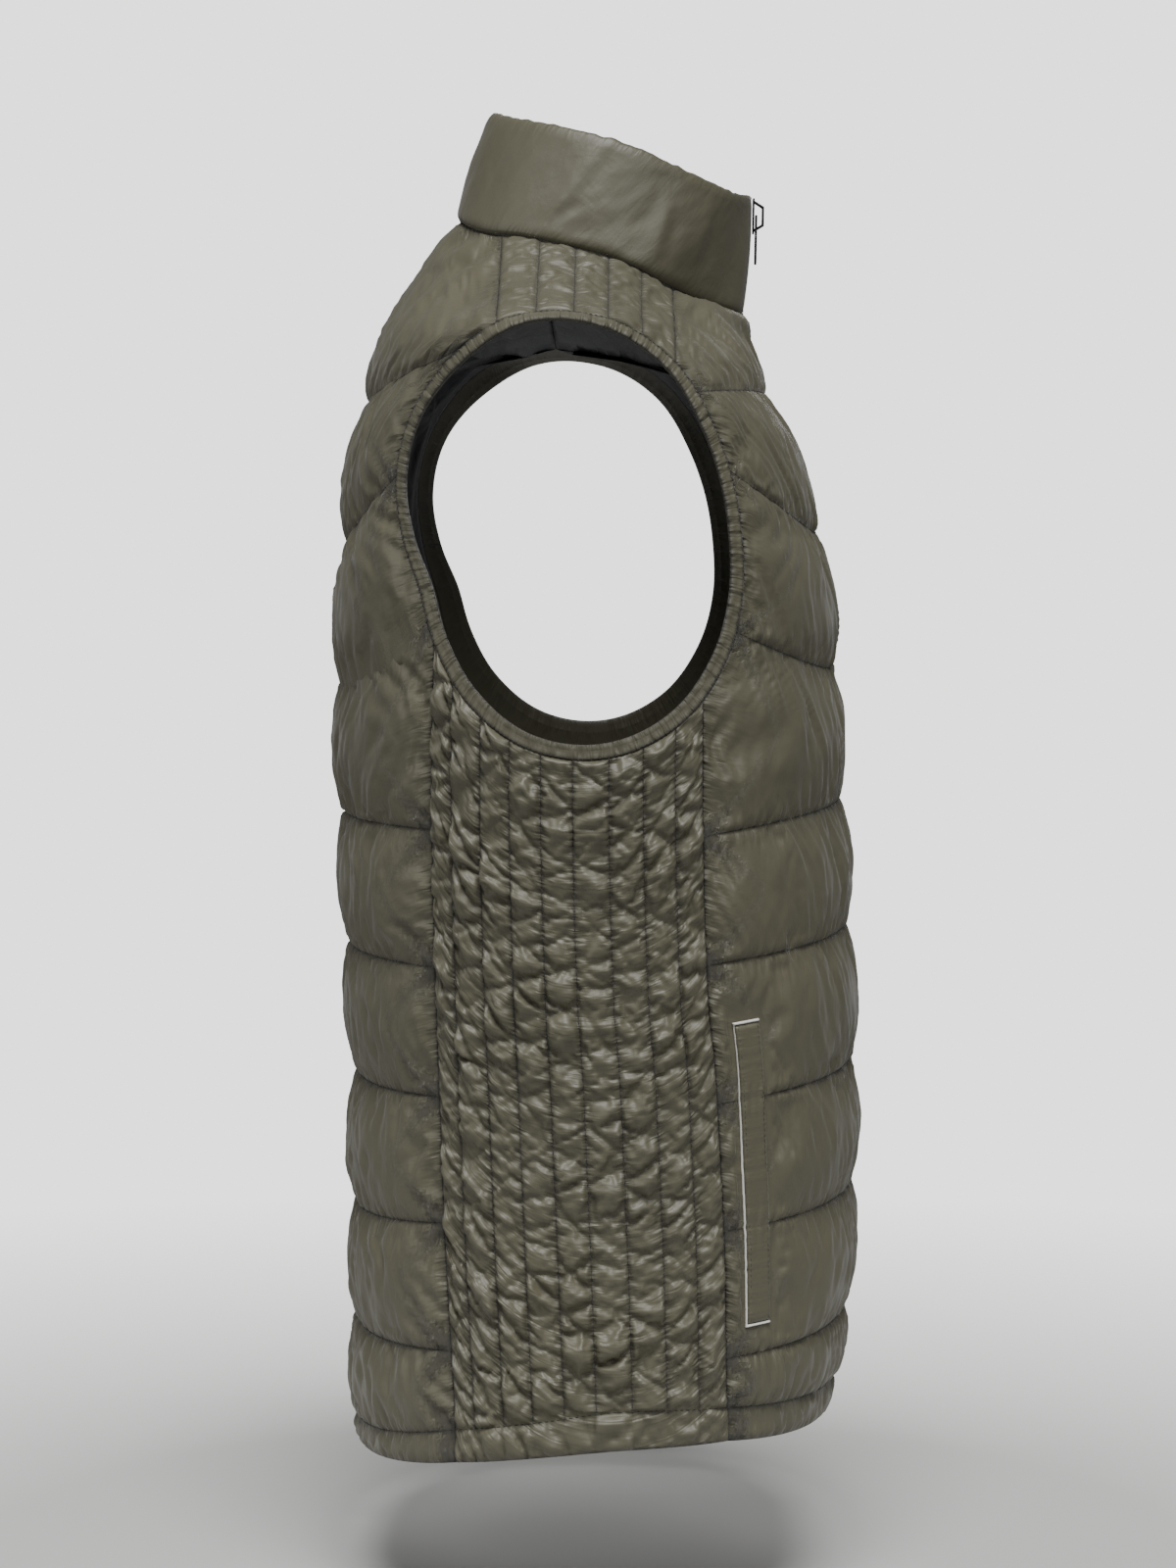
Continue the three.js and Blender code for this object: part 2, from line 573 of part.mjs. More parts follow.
// The collar is thin beside the zip and full a little further round
const fullAt = (turn) => (
  THREE.MathUtils.smoothstep(Math.min(Math.abs(turn), 2 * Math.PI - turn), 0.2, 0.6)
);
function collarPoint(turn, up, out) {
  const seam = skin(turn, neckZ(turn));
  const rim = skin(turn, neckZ(turn), WALL);
  const base = vec(seam.x, seam.y, rim.z + 0.4);
  const c = Math.cos(turn);
  const top = vec(-COLLAR_PLAN.half * Math.sin(turn), COLLAR_PLAN.y - COLLAR_PLAN.depth * c, 0);
  const round = vec(-Math.sin(turn) / COLLAR_PLAN.half, -c / COLLAR_PLAN.depth, 0).normalize();
  top.addScaledVector(round, -lerp(1.6, COLLAR_WALL - 0.8, fullAt(turn)));
  top.z = collarTopZ(COLLAR_PLAN.y - COLLAR_PLAN.depth * c);
  const bulge = 1.5 * Math.sin(Math.PI * up);
  base.z += 0.25 * Math.max(0, out - 0.2); // the foot of the wall is rounded
  return base.lerp(top, up).addScaledVector(round, out + bulge);
}
const collarTurnAtX = (x, up) => solve((t) => -collarPoint(t, up, 0).x - x, 0, 0.6);
const COLLAR_STATIONS = 44;
const collarGrid = (side) => COLLAR_ROWS.map((row) => {
  const edge = collarTurnAtX(FRONT_EDGE, row.up);
  return Array.from({ length: COLLAR_STATIONS + 1 }, (_, i) => {
    const s = i / COLLAR_STATIONS;
    const turn = lerp(edge, 2 * Math.PI - edge, s - 0.07 * Math.sin(2 * Math.PI * s));
    const out = side === "inner" ? row.inner : lerp(2.2, row.outer, fullAt(turn));
    return collarPoint(turn, row.up, out);
  });
});
add("collar", closeGrids(collarGrid("outer"), collarGrid("inner")), olive);

// Places along the zip, from the hem to the top of the collar
const zipRows = [
  ...frontGrid.filter((row) => [0, 0.5].includes(row[0].v) || row[0].k === 0)
    .map((row) => ({ z: row[0].z })).reverse().filter(({ z }) => z > -668),
  ...[0, 0.08, 0.35, 0.65, 0.9, 0.99].map((up) => ({ up })),
];
function zipPoint(place, x, away) {
  if (place.up === undefined) return skin(Math.sign(x) * turnAtX(Math.abs(x), place.z), place.z, away);
  const turn = collarTurnAtX(Math.abs(x), place.up) * (Math.sign(x) || 1);
  return collarPoint(turn, place.up, away);
}
const ribbon = (xs, away) => zipRows.map((place) => xs.map((x) => zipPoint(place, x, away)));
const TAPE_XS = [TAPE.from, TAPE.to];
addPair("zip_tape", ribbon(TAPE_XS, -1.1), ribbon(TAPE_XS, -1.7), black);
const CHAIN_XS = [-CHAIN_HALF, CHAIN_HALF];
add("zip_chain", closeGrids(ribbon(CHAIN_XS, CHAIN_HIGH), ribbon(CHAIN_XS, -1.4)), black);

// The pocket: a flat welt, and piping round its rear edge and its two ends
const column = (u) => {
  const i = Math.min(FRONT_COLUMNS.length - 2, FRONT_COLUMNS.findIndex((c) => c > u) - 1);
  return i + (u - FRONT_COLUMNS[i]) / (FRONT_COLUMNS[i + 1] - FRONT_COLUMNS[i]);
};
// A point on the outer face of the front, between its points, lifted off it
function onFront(row, u, lift) {
  const at = column(u);
  const i = Math.min(FRONT_COLUMNS.length - 2, Math.floor(at));
  const j = Math.min(frontOuter.length - 2, Math.floor(row));
  const mixed = (grid) => grid[j][i].clone().lerp(grid[j][i + 1], at - i)
    .lerp(grid[j + 1][i].clone().lerp(grid[j + 1][i + 1], at - i), row - j);
  const outer = mixed(frontOuter);
  const inner = mixed(frontInner);
  return outer.clone().addScaledVector(outer.sub(inner).normalize(), lift);
}
const rowOf = (k, v) => frontGrid.findIndex((row) => row[0].k === k && Math.abs(row[0].v - v) < 0.01);
const pocketTop = rowOf(5, 0.5) - 0.12;
const pocketLow = rowOf(7, 0.8) - 0.15;
const pocketRows = [pocketTop, ...Array.from({ length: 20 }, (_, i) => Math.ceil(pocketTop) + i)
  .filter((row) => row < pocketLow), pocketLow];
const WELT_COLUMNS = [POCKET.from, POCKET.middle, POCKET.to];
const welt = (lift) => pocketRows.map((row) => WELT_COLUMNS.map((u) => onFront(row, u, lift)));
addPair("pocket_welt", welt(2), welt(0.35), olive);

// Piping: its line near the welt and its line away from it, as row and column places
const LIFT = { low: 0.35, high: 1.6 };
function pipeLine(u, away) {
  const top = pocketTop - away;
  const low = pocketLow + away;
  return [
    [top, POCKET.from], [top, POCKET.middle], [top, u],
    ...pocketRows.slice(1, -1).map((row) => [row, u]),
    [low, u], [low, POCKET.middle], [low, POCKET.from],
  ];
}
const piping = (lift) => [pipeLine(POCKET.to + 0.0025, 0.02), pipeLine(POCKET.piping, 0.1)]
  .map((line) => line.map(([row, u]) => onFront(row, u, lift)));
addPair("pocket_piping", piping(LIFT.high), piping(LIFT.low), white);

// Slider and box of the zip are built flat: X across, Y up along the chain, Z off the chain
const zipFrame = (up) => {
  const at = collarPoint(0, up, 0);
  const along = collarPoint(0, up + 0.05, 0).sub(collarPoint(0, up - 0.05, 0)).normalize();
  const across = vec(1, 0, 0);
  return new THREE.Matrix4().makeBasis(across, along, across.clone().cross(along)).setPosition(at);
};
const SLIDER = { width: 9.2, low: 2.95, high: 4.1, arch: 10.2, band: 1.5, span: 3 };
const PULL = { pivot: 5.3, thick: 1.4, length: 30, width: 6, paddle: 7, window: 11.3, bar: 0.7 };

const wasm = await Module();
wasm.setup();
function solid(geometry) {
  const g = geometry.clone();
  g.deleteAttribute("normal");
  g.deleteAttribute("uv");
  const merged = mergeVertices(g, 1e-4);
  return new wasm.Manifold(new wasm.Mesh({
    numProp: 3,
    vertProperties: new Float32Array(merged.attributes.position.array),
    triVerts: new Uint32Array(merged.index.array),
  }));
}
function geometryOf(manifold) {
  const mesh = manifold.getMesh();
  const geometry = new THREE.BufferGeometry();
  const numbers = new Float32Array(mesh.vertProperties);
  geometry.setAttribute("position", new THREE.BufferAttribute(numbers, 3));
  geometry.setIndex(new THREE.BufferAttribute(new Uint32Array(mesh.triVerts), 1));
  geometry.computeVertexNormals();
  return geometry;
}
const outline = (corners) => new THREE.Shape(corners.map(([x, y]) => new THREE.Vector2(x, y)));

// Slider plate, tapered towards the hem, with a trapezoid arch on it
const half = SLIDER.width / 2;
const plate = new THREE.ExtrudeGeometry(
  outline([[-half, 11], [-half, -4], [-half + 1.6, -11], [half - 1.6, -11], [half, -4], [half, 11]]),
  { depth: SLIDER.high - SLIDER.low, bevelEnabled: false },
).translate(0, 0, SLIDER.low);
const archShape = outline([[-10, 3.6], [-6, SLIDER.arch], [6, SLIDER.arch], [10, 3.6]]);
const archTop = SLIDER.arch - SLIDER.band;
archShape.holes.push(outline([[8.1, 3.7], [5, archTop], [-5, archTop], [-8.1, 3.7]]));
const archSolid = new THREE.ExtrudeGeometry(archShape, { depth: SLIDER.span, bevelEnabled: false });
archSolid.translate(0, 0, -SLIDER.span / 2);
archSolid.applyMatrix4(new THREE.Matrix4().makeBasis(vec(0, 1, 0), vec(0, 0, 1), vec(1, 0, 0)));
const zipTop = new THREE.Group();
zipTop.applyMatrix4(zipFrame(0.84));
vest.add(zipTop);
add("zip_slider", geometryOf(solid(plate).add(solid(archSolid))), gunmetal, zipTop);

// Pull: a flat ring on a bar through the arch, with a paddle hanging from it
const pullEdge = [
  [PULL.paddle / 2 - 1.5, -PULL.length], [PULL.paddle / 2, -PULL.length + 1.5],
  [PULL.paddle / 2, -PULL.window - 1.5], [PULL.width / 2, -PULL.window - 0.4],
  [PULL.width / 2, PULL.bar],
];
const pullShape = outline([...pullEdge.map(([x, y]) => [-x, y]).reverse(), ...pullEdge]);
pullShape.holes.push(outline([
  [-1.95, -PULL.bar], [1.95, -PULL.bar], [1.95, -PULL.window], [-1.95, -PULL.window],
]));
const pullPlate = new THREE.ExtrudeGeometry(pullShape, { depth: PULL.thick, bevelEnabled: false });
pullPlate.translate(0, 0, -PULL.thick / 2);
const pull = add("zip_pull", pullPlate, gunmetal, zipTop);
pull.position.set(0, 0, PULL.pivot);

// Box at the foot of the chain
const boxLow = skin(0, -664);
const boxHigh = skin(0, -650);
const boxAlong = boxHigh.clone().sub(boxLow).normalize();
const boxFrame = new THREE.Matrix4()
  .makeBasis(vec(1, 0, 0), boxAlong, vec(1, 0, 0).cross(boxAlong))
  .setPosition(boxLow.clone().lerp(boxHigh, 0.5));
const zipFoot = new THREE.Group();
zipFoot.applyMatrix4(boxFrame);
vest.add(zipFoot);
const box = add("zip_box", new THREE.BoxGeometry(8.6, 13, 3), black, zipFoot);
box.position.set(0, 0, CHAIN_HIGH + 1.85);

export default vest;
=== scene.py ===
# %% [markdown]
# # A quilted vest, in cells
#
# The vest hangs open and hollow, as if it were worn. The frame that is loaded here carries a plain
# solid for every cut piece. Each cell makes one piece, or one finish, and puts it where its plain
# solid stands. Nothing may grow far beyond it.

import math

import bmesh
import bpy
import numpy as np
from mathutils import Matrix, Vector


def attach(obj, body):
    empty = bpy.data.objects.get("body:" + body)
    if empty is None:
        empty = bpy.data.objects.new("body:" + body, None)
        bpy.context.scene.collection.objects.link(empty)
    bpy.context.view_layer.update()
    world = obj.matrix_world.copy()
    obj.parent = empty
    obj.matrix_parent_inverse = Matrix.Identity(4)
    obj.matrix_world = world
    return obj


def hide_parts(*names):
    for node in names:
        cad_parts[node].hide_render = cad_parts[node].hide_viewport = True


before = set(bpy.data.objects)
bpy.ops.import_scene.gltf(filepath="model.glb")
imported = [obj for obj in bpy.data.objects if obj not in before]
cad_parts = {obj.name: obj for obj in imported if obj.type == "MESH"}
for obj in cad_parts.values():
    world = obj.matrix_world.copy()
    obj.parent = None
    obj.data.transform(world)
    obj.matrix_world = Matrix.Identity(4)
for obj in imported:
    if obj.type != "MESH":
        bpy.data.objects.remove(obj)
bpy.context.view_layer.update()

# %% [markdown]
# ## The body shape
#
# A vest keeps the shape of the chest that it was made for. Level sections say how deep and how wide
# that chest is at a few heights, and smooth curves join them. A place on the cloth is then a turn
# round the body and a height, in millimetres, and an offset lifts it off the inside of the vest.

# %% Sections of the body
def table(names, rows):
    return dict(zip(names.split(), np.array(rows, float).T))


SECTIONS = table("z front back half wide square_front square_back", [
    (-710, -148, 136, 213, -5, 0.07, 0.07), (-676, -152, 139, 214, -5, 0.07, 0.07),
    (-620, -161, 138, 212, -8, 0.07, 0.07), (-540, -165, 139, 211, -10, 0.07, 0.07),
    (-460, -165, 138, 212, -10, 0.07, 0.07), (-380, -162, 143, 214, -8, 0.07, 0.07),
    (-300, -158, 146, 218, -5, 0.06, 0.06), (-215, -153, 147.5, 222, 0, 0.05, 0.05),
    (-133, -142.5, 143, 222, 8, 0.05, 0.04), (-90, -128, 138.5, 219, 12, 0.05, 0.03),
    (-50, -111, 129, 213, 16, 0.04, 0), (-19, -102.5, 117, 205, 18, -0.08, -0.04),
    (-1.5, -98, 109, 163, 20, -0.13, -0.06), (3, -83.5, 106.5, 153, 21, -0.1, -0.06),
    (11, -66, 102.5, 134, 22, -0.03, -0.05), (22, -59, 96.5, 110, 25, 0, -0.03),
    (29, -56, 92.5, 97, 28, 0, 0), (35, -50, 89, 88, 30, 0, 0), (43, -48, 84.5, 79, 22, 0, 0),
    (57, -46, 74, 75, 20, 0, 0), (70, -46, 64, 70, 20, 0, 0),
])
NECK = table("y z", [(74, 57), (52, 43), (33, 40), (12, 35), (-11, 29), (-30, 22), (-52, 11),
                     (-77, 3), (-98, -1.5)])


def curve(rows, key, name):
    order = np.argsort(rows[key])
    x, y = rows[key][order], rows[name][order]
    i = np.arange(len(x))
    low, high = np.maximum(i - 1, 0), np.minimum(i + 1, len(x) - 1)
    slope = (y[high] - y[low]) / (x[high] - x[low])

    def at(v):
        v = np.asarray(v, float)
        i = np.clip(np.searchsorted(x, v) - 1, 0, len(x) - 2)
        w = x[i + 1] - x[i]
        s = np.clip((v - x[i]) / w, 0, 1)
        ease = s * s * (3 - 2 * s)
        return (y[i] + (y[i + 1] - y[i]) * ease
                + w * (slope[i] * s * (1 - s) ** 2 - slope[i + 1] * s * s * (1 - s)))

    return at


section = {name: curve(SECTIONS, "z", name) for name in SECTIONS if name != "z"}


def inside(turn, z):
    turn, z = np.broadcast_arrays(np.asarray(turn, float), np.asarray(z, float))
    c = np.cos(turn)
    square = np.where(c > 0, section["square_front"](z), section["square_back"](z))
    out = 1 + square * np.sin(2 * turn) ** 2
    wide = section["wide"](z)
    depth = np.where(c > 0, wide - section["front"](z), section["back"](z) - wide)
    return np.stack([-section["half"](z) * np.sin(turn) * out, wide - depth * c * out, z], -1)


def outward(turn, z):
    up = inside(turn, np.asarray(z) + 0.2) - inside(turn, np.asarray(z) - 0.2)
    around = inside(np.asarray(turn) + 1e-3, z) - inside(np.asarray(turn) - 1e-3, z)
    n = np.cross(up, around)
    return n / np.linalg.norm(n, axis=-1, keepdims=True)


def skin(turn, z, off=0.0):
    return inside(turn, z) + outward(turn, z) * np.asarray(off, float)[..., None]


print("chest, widest:", round(2 * float(section["half"](-200)), 1), "mm")

# %% [markdown]
# Two questions come up again and again: at which turn does a section reach a given place from front
# to back, and where does a rising or falling value pass zero. The first is found by putting the
# answer back in a few times, the second by halving.

# %% Places on a section
def solve(f, low, high):
    low, high = np.asarray(low, float), np.asarray(high, float)
    rising = f(high) > f(low)
    for _ in range(40):
        middle = (low + high) / 2
        upper = (f(middle) > 0) == rising
        high, low = np.where(upper, middle, high), np.where(upper, low, middle)
    return (low + high) / 2


def turn_at_y(y, z):
    y, z = np.broadcast_arrays(np.asarray(y, float), np.asarray(z, float))
    wide = section["wide"](z)
    front = y < wide
    square = np.where(front, section["square_front"](z), section["square_back"](z))
    share = (wide - y) / np.where(front, wide - section["front"](z), section["back"](z) - wide)
    c = share
    for _ in range(14):
        c = np.clip(share / (1 + 4 * square * c * c * (1 - c * c)), -1, 1)
    return np.arccos(c)


def turn_at_x(x, z):
    return solve(lambda t: -inside(t, z)[..., 0] - x, np.zeros(np.shape(z)), np.full(np.shape(z), 0.6))


neck_turns = turn_at_y(NECK["y"], NECK["z"])
neck_turns[0], neck_turns[-1] = np.pi, 0
neck_half = curve({
    "turn": np.concatenate([neck_turns, [-neck_turns[-2], 2 * np.pi - neck_turns[1]]]),
    "z": np.concatenate([NECK["z"], [NECK["z"][-2], NECK["z"][1]]]),
}, "turn", "z")


def neck_z(turn):
    turn = np.asarray(turn, float)
    return neck_half(np.where(turn <= np.pi, turn, 2 * np.pi - turn))


print("neck seam:", round(float(neck_z(0)), 1), "mm in front,", round(float(neck_z(np.pi)), 1), "behind")

# %% [markdown]
# ## The armhole
#
# The armhole's edge is a closed curve, given by its distance from a middle point every 20 degrees.
# Rings further out are found by walking outwards on the cloth itself, so a border of 9 mm is 9 mm
# wide all the way round, also where the cloth turns over the shoulder.

# %% Rings round the armhole
ARM_Y, ARM_Z = 7, -140
ARM_RADII = np.array([90.2, 101.1, 111.3, 117.9, 124.6, 121.5, 112.6, 100.4, 94.2, 93.6, 99.6, 108.7,
                      118, 121.4, 116.4, 104.2, 91.5, 84])
BORDER, SEAM_GAP, FACING = 9.0, 0.17, 24.0
DEG = np.pi / 180


def closed_curve(values):
    n = len(values)

    def at(angle):
        t = (np.asarray(angle, float) / (2 * np.pi)) % 1 * n
        i = np.floor(t).astype(int)
        s = t - i
        a, b, c, d = (values[(i + k) % n] for k in (-1, 0, 1, 2))
        return 0.5 * (2 * b + (c - a) * s + (2 * a - 5 * b + 4 * c - d) * s * s
                      + (3 * b - a - 3 * c + d) * s ** 3)

    return at


def at_radius(angle, r):
    y, z = ARM_Y + r * np.cos(angle), ARM_Z + r * np.sin(angle)
    return turn_at_y(y, z), y, z


def hoop(distance):
    angle = np.arange(90) / 90 * 2 * np.pi
    r, left = closed_curve(ARM_RADII)(angle), distance
    while left > 1e-9:
        a, b = at_radius(angle, r), at_radius(angle, r + 0.05)
        step = np.linalg.norm(inside(a[0], a[2]) - inside(b[0], b[2]), axis=-1)
        r = r + min(left, 1) * 0.05 / step
        left -= 1
    radius = closed_curve(r)
    return lambda angle: at_radius(angle, radius(angle))


panel_edge = hoop(BORDER + 0.3)
edge_points = inside(*[hoop(0)(np.linspace(0, 2 * np.pi, 721))[i] for i in (0, 2)])

# %% Where the seams run
SIDE_FRONT = table("z y", [(-700, -86.5), (-664, -85.2), (-560, -83.5), (-505, -81), (-450, -77.9),
                           (-412, -73.9), (-312, -70.5), (-200, -70.5)])
SIDE_BACK = table("z y", [(-700, 71), (-664, 71.7), (-542, 78.4), (-311, 85), (-176, 83), (-140, 83)])
STRIP_FRONT, STRIP_BACK, FRONT_EDGE = -54.5, 48.0, 5.0
side_front, side_back = curve(SIDE_FRONT, "z", "y"), curve(SIDE_BACK, "z", "y")
corner = {
    "strip_back": solve(lambda a: panel_edge(a)[1] - STRIP_BACK, 40 * DEG, 100 * DEG),
    "strip_front": solve(lambda a: panel_edge(a)[1] - STRIP_FRONT, 90 * DEG, 150 * DEG),
    "side_front": solve(lambda a: panel_edge(a)[1] - side_front(panel_edge(a)[2]), 200 * DEG, 260 * DEG),
    "side_back": solve(lambda a: panel_edge(a)[1] - side_back(panel_edge(a)[2]), 300 * DEG, 350 * DEG),
}


def seam_turn(y):
    """The turn at which the neck seam is at this depth."""
    return solve(lambda t: inside(t, neck_z(t))[..., 1] - y, 0.2, 2.9)


def outer_edge(first, last, high_y, low_y):
    """The outer edge of a front or back, by height: strip seam, armhole border, side seam."""
    angles = np.linspace(first, last, 500)
    turns, _, heights = panel_edge(angles)
    order = np.argsort(heights)

    def at(z):
        z = np.asarray(z, float)
        arm = np.interp(z, heights[order], turns[order])
        high, low = turn_at_y(high_y, z), turn_at_y(low_y(z), z)
        return np.where(z > heights.max(), high, np.where(z < heights.min(), low, arm))

    return at


front_edge = outer_edge(corner["strip_front"], corner["side_front"], STRIP_FRONT - SEAM_GAP,
                        lambda z: side_front(z) - SEAM_GAP)
back_edge = outer_edge(corner["side_back"] - 2 * np.pi, corner["strip_back"], STRIP_BACK + SEAM_GAP,
                       lambda z: side_back(z) + SEAM_GAP)
print({name: round(float(a) / DEG) for name, a in corner.items()})

# %% [markdown]
# ## Laying out a quilted panel
#
# A quilted panel is two layers of thin cloth with padding between them, stitched through along
# lines. The lines of the front and back are level at the middle and fall or rise to the outer seam,
# and the upper ones swing down in a bow. A fine net of points is spread between each pair of lines.
# Its rows are stitched lines or lie between two of them, and that is what the sewing needs to know.

# %% Quilting lines and the net between them
LINE = "middle outer bend dip"
FRONT_LINES = table(LINE, [
    (-51, -57, 2, 0), (-133, -103, 2, 7), (-215, -196, 2, 7), (-300, -314, 2, 0),
    (-377.5, -389, 2, 0), (-460, -470, 2, 0), (-537, -545, 2, 0), (-614, -620, 2, 0),
    (-656, -649, 2, 0), (-676, -669, 2, 0)])
BACK_LINES = table(LINE, [
    (-56.5, -33, 1.6, 0), (-144, -105, 2, 0), (-227.5, -190, 4, 0), (-308, -311, 2, 0),
    (-388.6, -391.6, 2, 0), (-469, -468, 2, 0), (-550, -542, 2, 0), (-622.5, -617, 2, 0),
    (-682, -662.5, 2, 0), (-697, -681.6, 2, 0)])


def lay(lines, top, start, edge, rows, u):
    """Turn, height for a list of rows (channel, share of it) and an array of shares of the width."""
    ends = np.concatenate([[top], lines["outer"]])
    neck_start = float(start(neck_z(0.03)))
    middles = np.concatenate([[neck_z(neck_start)], lines["middle"]])

    def line(k):
        if k == 0:
            turn = neck_start + (float(edge(top)) - neck_start) * u
            return turn, neck_z(turn)
        middle, outer, bend, dip = (lines[n][k - 1] for n in LINE.split())
        low, high = float(start(middle)), float(edge(outer))
        return low + (high - low) * u, middle + (outer - middle) * u ** bend - dip * 4 * u * (1 - u)

    turns, heights = [], []
    for k, v in rows:
        below = min(k + 1, len(ends) - 1)
        middle_z = middles[k] + (middles[below] - middles[k]) * v
        outer_z = ends[k] + (ends[below] - ends[k]) * v
        left = (float(start(middle_z)) if (k, v) != (0, 0) else neck_start, middle_z)
        right = (float(edge(outer_z)), outer_z)
        for values, a, b, first, last in zip((turns, heights), line(k), line(below), left, right):
            across = a + (b - a) * v
            values.append(across + (1 - u) * (first - across[0]) + u * (last - across[-1]))
    return np.array(turns), np.array(heights)


def channel_rows(lines, top, cell, keep):
    """Rows about one cell apart, a stitched line at each whole channel, through the kept places."""
    ends = np.concatenate([[top], lines["outer"]])
    middles = np.concatenate([[0.0], lines["middle"]])
    rows = []
    for k in range(len(ends) - 1):
        n = max(3, round(max(abs(ends[k + 1] - ends[k]), abs(middles[k + 1] - middles[k])) / cell))
        v = np.arange(n) / n
        if k in keep:
            v[1 + np.argmin(abs(v[1:] - keep[k]))] = keep[k]
        rows += [(k, float(x)) for x in v]
    return rows + [(len(ends) - 1, 0.0)]


CELL = 4.6
front_top, back_top = float(neck_z(seam_turn(STRIP_FRONT))), float(neck_z(seam_turn(STRIP_BACK)))


def share_of(lines, top, k, z):
    """Where a height lies in channel k at the outer edge, from 0 to 1."""
    above = [top, *lines["outer"]][k]
    return float((above - z) / (above - lines["outer"][k]))


front_rows = channel_rows(FRONT_LINES, front_top, CELL, {
    0: share_of(FRONT_LINES, front_top, 0, panel_edge(corner["strip_front"])[2]),
    3: share_of(FRONT_LINES, front_top, 3, panel_edge(corner["side_front"])[2])})
back_rows = channel_rows(BACK_LINES, back_top, CELL, {
    0: share_of(BACK_LINES, back_top, 0, panel_edge(corner["strip_back"])[2]),
    2: share_of(BACK_LINES, back_top, 2, panel_edge(corner["side_back"])[2])})
front_u, back_u = np.linspace(0, 1, 77), np.linspace(0, 1, 57)
front_net = lay(FRONT_LINES, front_top, lambda z: turn_at_x(FRONT_EDGE, z),
                front_edge, front_rows, front_u)
back_net = lay(BACK_LINES, back_top, lambda z: np.pi + 0 * np.asarray(z), back_edge, back_rows, back_u)
print("front net", front_net[0].shape, "half of the back", back_net[0].shape)

# %% [markdown]
# ## Wrinkles to start from
#
# Sewn padding never lies smooth. Before the cloth is let go, it gets a faint set of waves, so that
# it knows where to fold. Each set is a sum of plane waves about one direction and one length, with
# phases from a fixed seed, so the vest comes out the same every time.

# %% Waves in the cloth
WALL = 2.0  # the cloth at a stitched line stands this far off the vest's inside, in millimetres
PUFF, HEM_PUFF, NARROW_PUFF, POCKET_PUFF = 4.6, 2.2, 3.0, 0.8  # and the padding this much more
WIDE_FOLDS = 0.8


def waves(along, across, length, lean=0.0, spread=0.5, seed=1, count=28):
    """Waves of unit size. Length is in millimetres, lean and spread turn their direction."""
    rng = np.random.default_rng(seed)
    total = np.zeros(np.shape(along))
    for _ in range(count):
        angle = lean + spread * rng.normal()
        k = 2 * np.pi / (length * np.exp(0.35 * rng.normal()))
        place = along * np.cos(angle) + across * np.sin(angle)
        total += np.sin(k * place + rng.uniform(0, 2 * np.pi))
    return total / math.sqrt(count / 2)


def lengths(points, axis):
    """How far each point lies along its row or column, in millimetres."""
    step = np.linalg.norm(np.diff(points, axis=axis), axis=-1)
    start = np.zeros_like(np.take(step, [0], axis=axis))
    return np.concatenate([start, np.cumsum(step, axis=axis)], axis=axis)


def to_nearest(values, marks):
    """Distance to the nearest of some marks, along the last axis of values."""
    return np.min(abs(values[..., None] - marks[..., None, :]), axis=-1)


def step_up(value, low, high):
    s = np.clip((value - low) / (high - low), 0, 1)
    return s * s * (3 - 2 * s)


print("a wave's size:", round(float(waves(np.arange(400.0), np.zeros(400), 15).std()), 2))

# %% Fronts and back as nets with padding
pieces = {}


def add_panel(name, mirror, **parts):
    """Keeps a panel's nets by its name. A left panel is the right one turned over."""
    if mirror:
        for key in ("outer", "inner"):
            parts[key] = parts[key] * [-1, 1, 1]
    pieces[name] = parts


def pillow(v):
    """Height of a channel's padding across it, from 0 at its stitched lines to 1."""
    return np.maximum(np.sin(np.pi * np.asarray(v)), 0) ** 0.6


def wide_swell(rows, lines, u):
    """How far the padding stands up for each row and column."""
    last = len(lines["outer"]) - 1
    swell = [(HEM_PUFF if k == last else PUFF) * pillow(v ** 1.5 if k == 0 else v) for k, v in rows]
    return np.array(swell)[:, None] * np.clip((1 - u) / 0.06, 0, 1)[None, :] ** 0.6


def quilt_wide(name, net, rows, u, lines, seed, mirror=False, flat=0):
    """A panel with wide channels. It is pressed down where flat is 1."""
    turn, z = net
    inner = skin(turn, z)
    along, across = lengths(inner, 1), lengths(inner, 0)
    puff = wide_swell(rows, lines, u)
    puff = puff * (1 - flat) + POCKET_PUFF * flat * (puff > 0)
    stitched = np.array([v == 0 for _, v in rows])
    bent = along + 7 * waves(across, along, 110, 0.4, 0.5, seed + 3)
    folds = 0.55 * waves(bent, across, 19, 0.25, 0.2, seed)
    folds = folds + 0.8 * waves(bent, across, 46, -0.3, 0.35, seed + 1)
    puff = 0.9 * puff + WIDE_FOLDS * folds * np.clip(puff / PUFF, 0, 1) ** 0.6 * (1 - 0.9 * flat)
    pin = np.zeros(puff.shape, bool)
    pin[stitched] = pin[:, 0] = pin[:, -1] = True
    pin |= flat > 0.6
    spare = np.clip(0.1 + 0.08 * waves(along, across, 55, 0.9, 0.6, seed + 2), 0, 0.4)
    to_line = to_nearest(across.T, across[stitched].T).T
    to_side = np.minimum(along, along[:, -1:] - along)
    add_panel(name, mirror, outer=skin(turn, z, WALL + puff), inner=inner, spare=spare, pin=pin,
              cap=5.0, rows=stitched, columns=np.zeros(len(u), bool),
              along=np.where(to_side < to_line, across, along), gap=np.minimum(to_line, to_side))


# %% [markdown]
# Two places on a front are thinner than the rest. Under the pocket the padding is sewn flat, so
# that the welt can lie on it, and beside the zip it has to go between two rows of stitching.

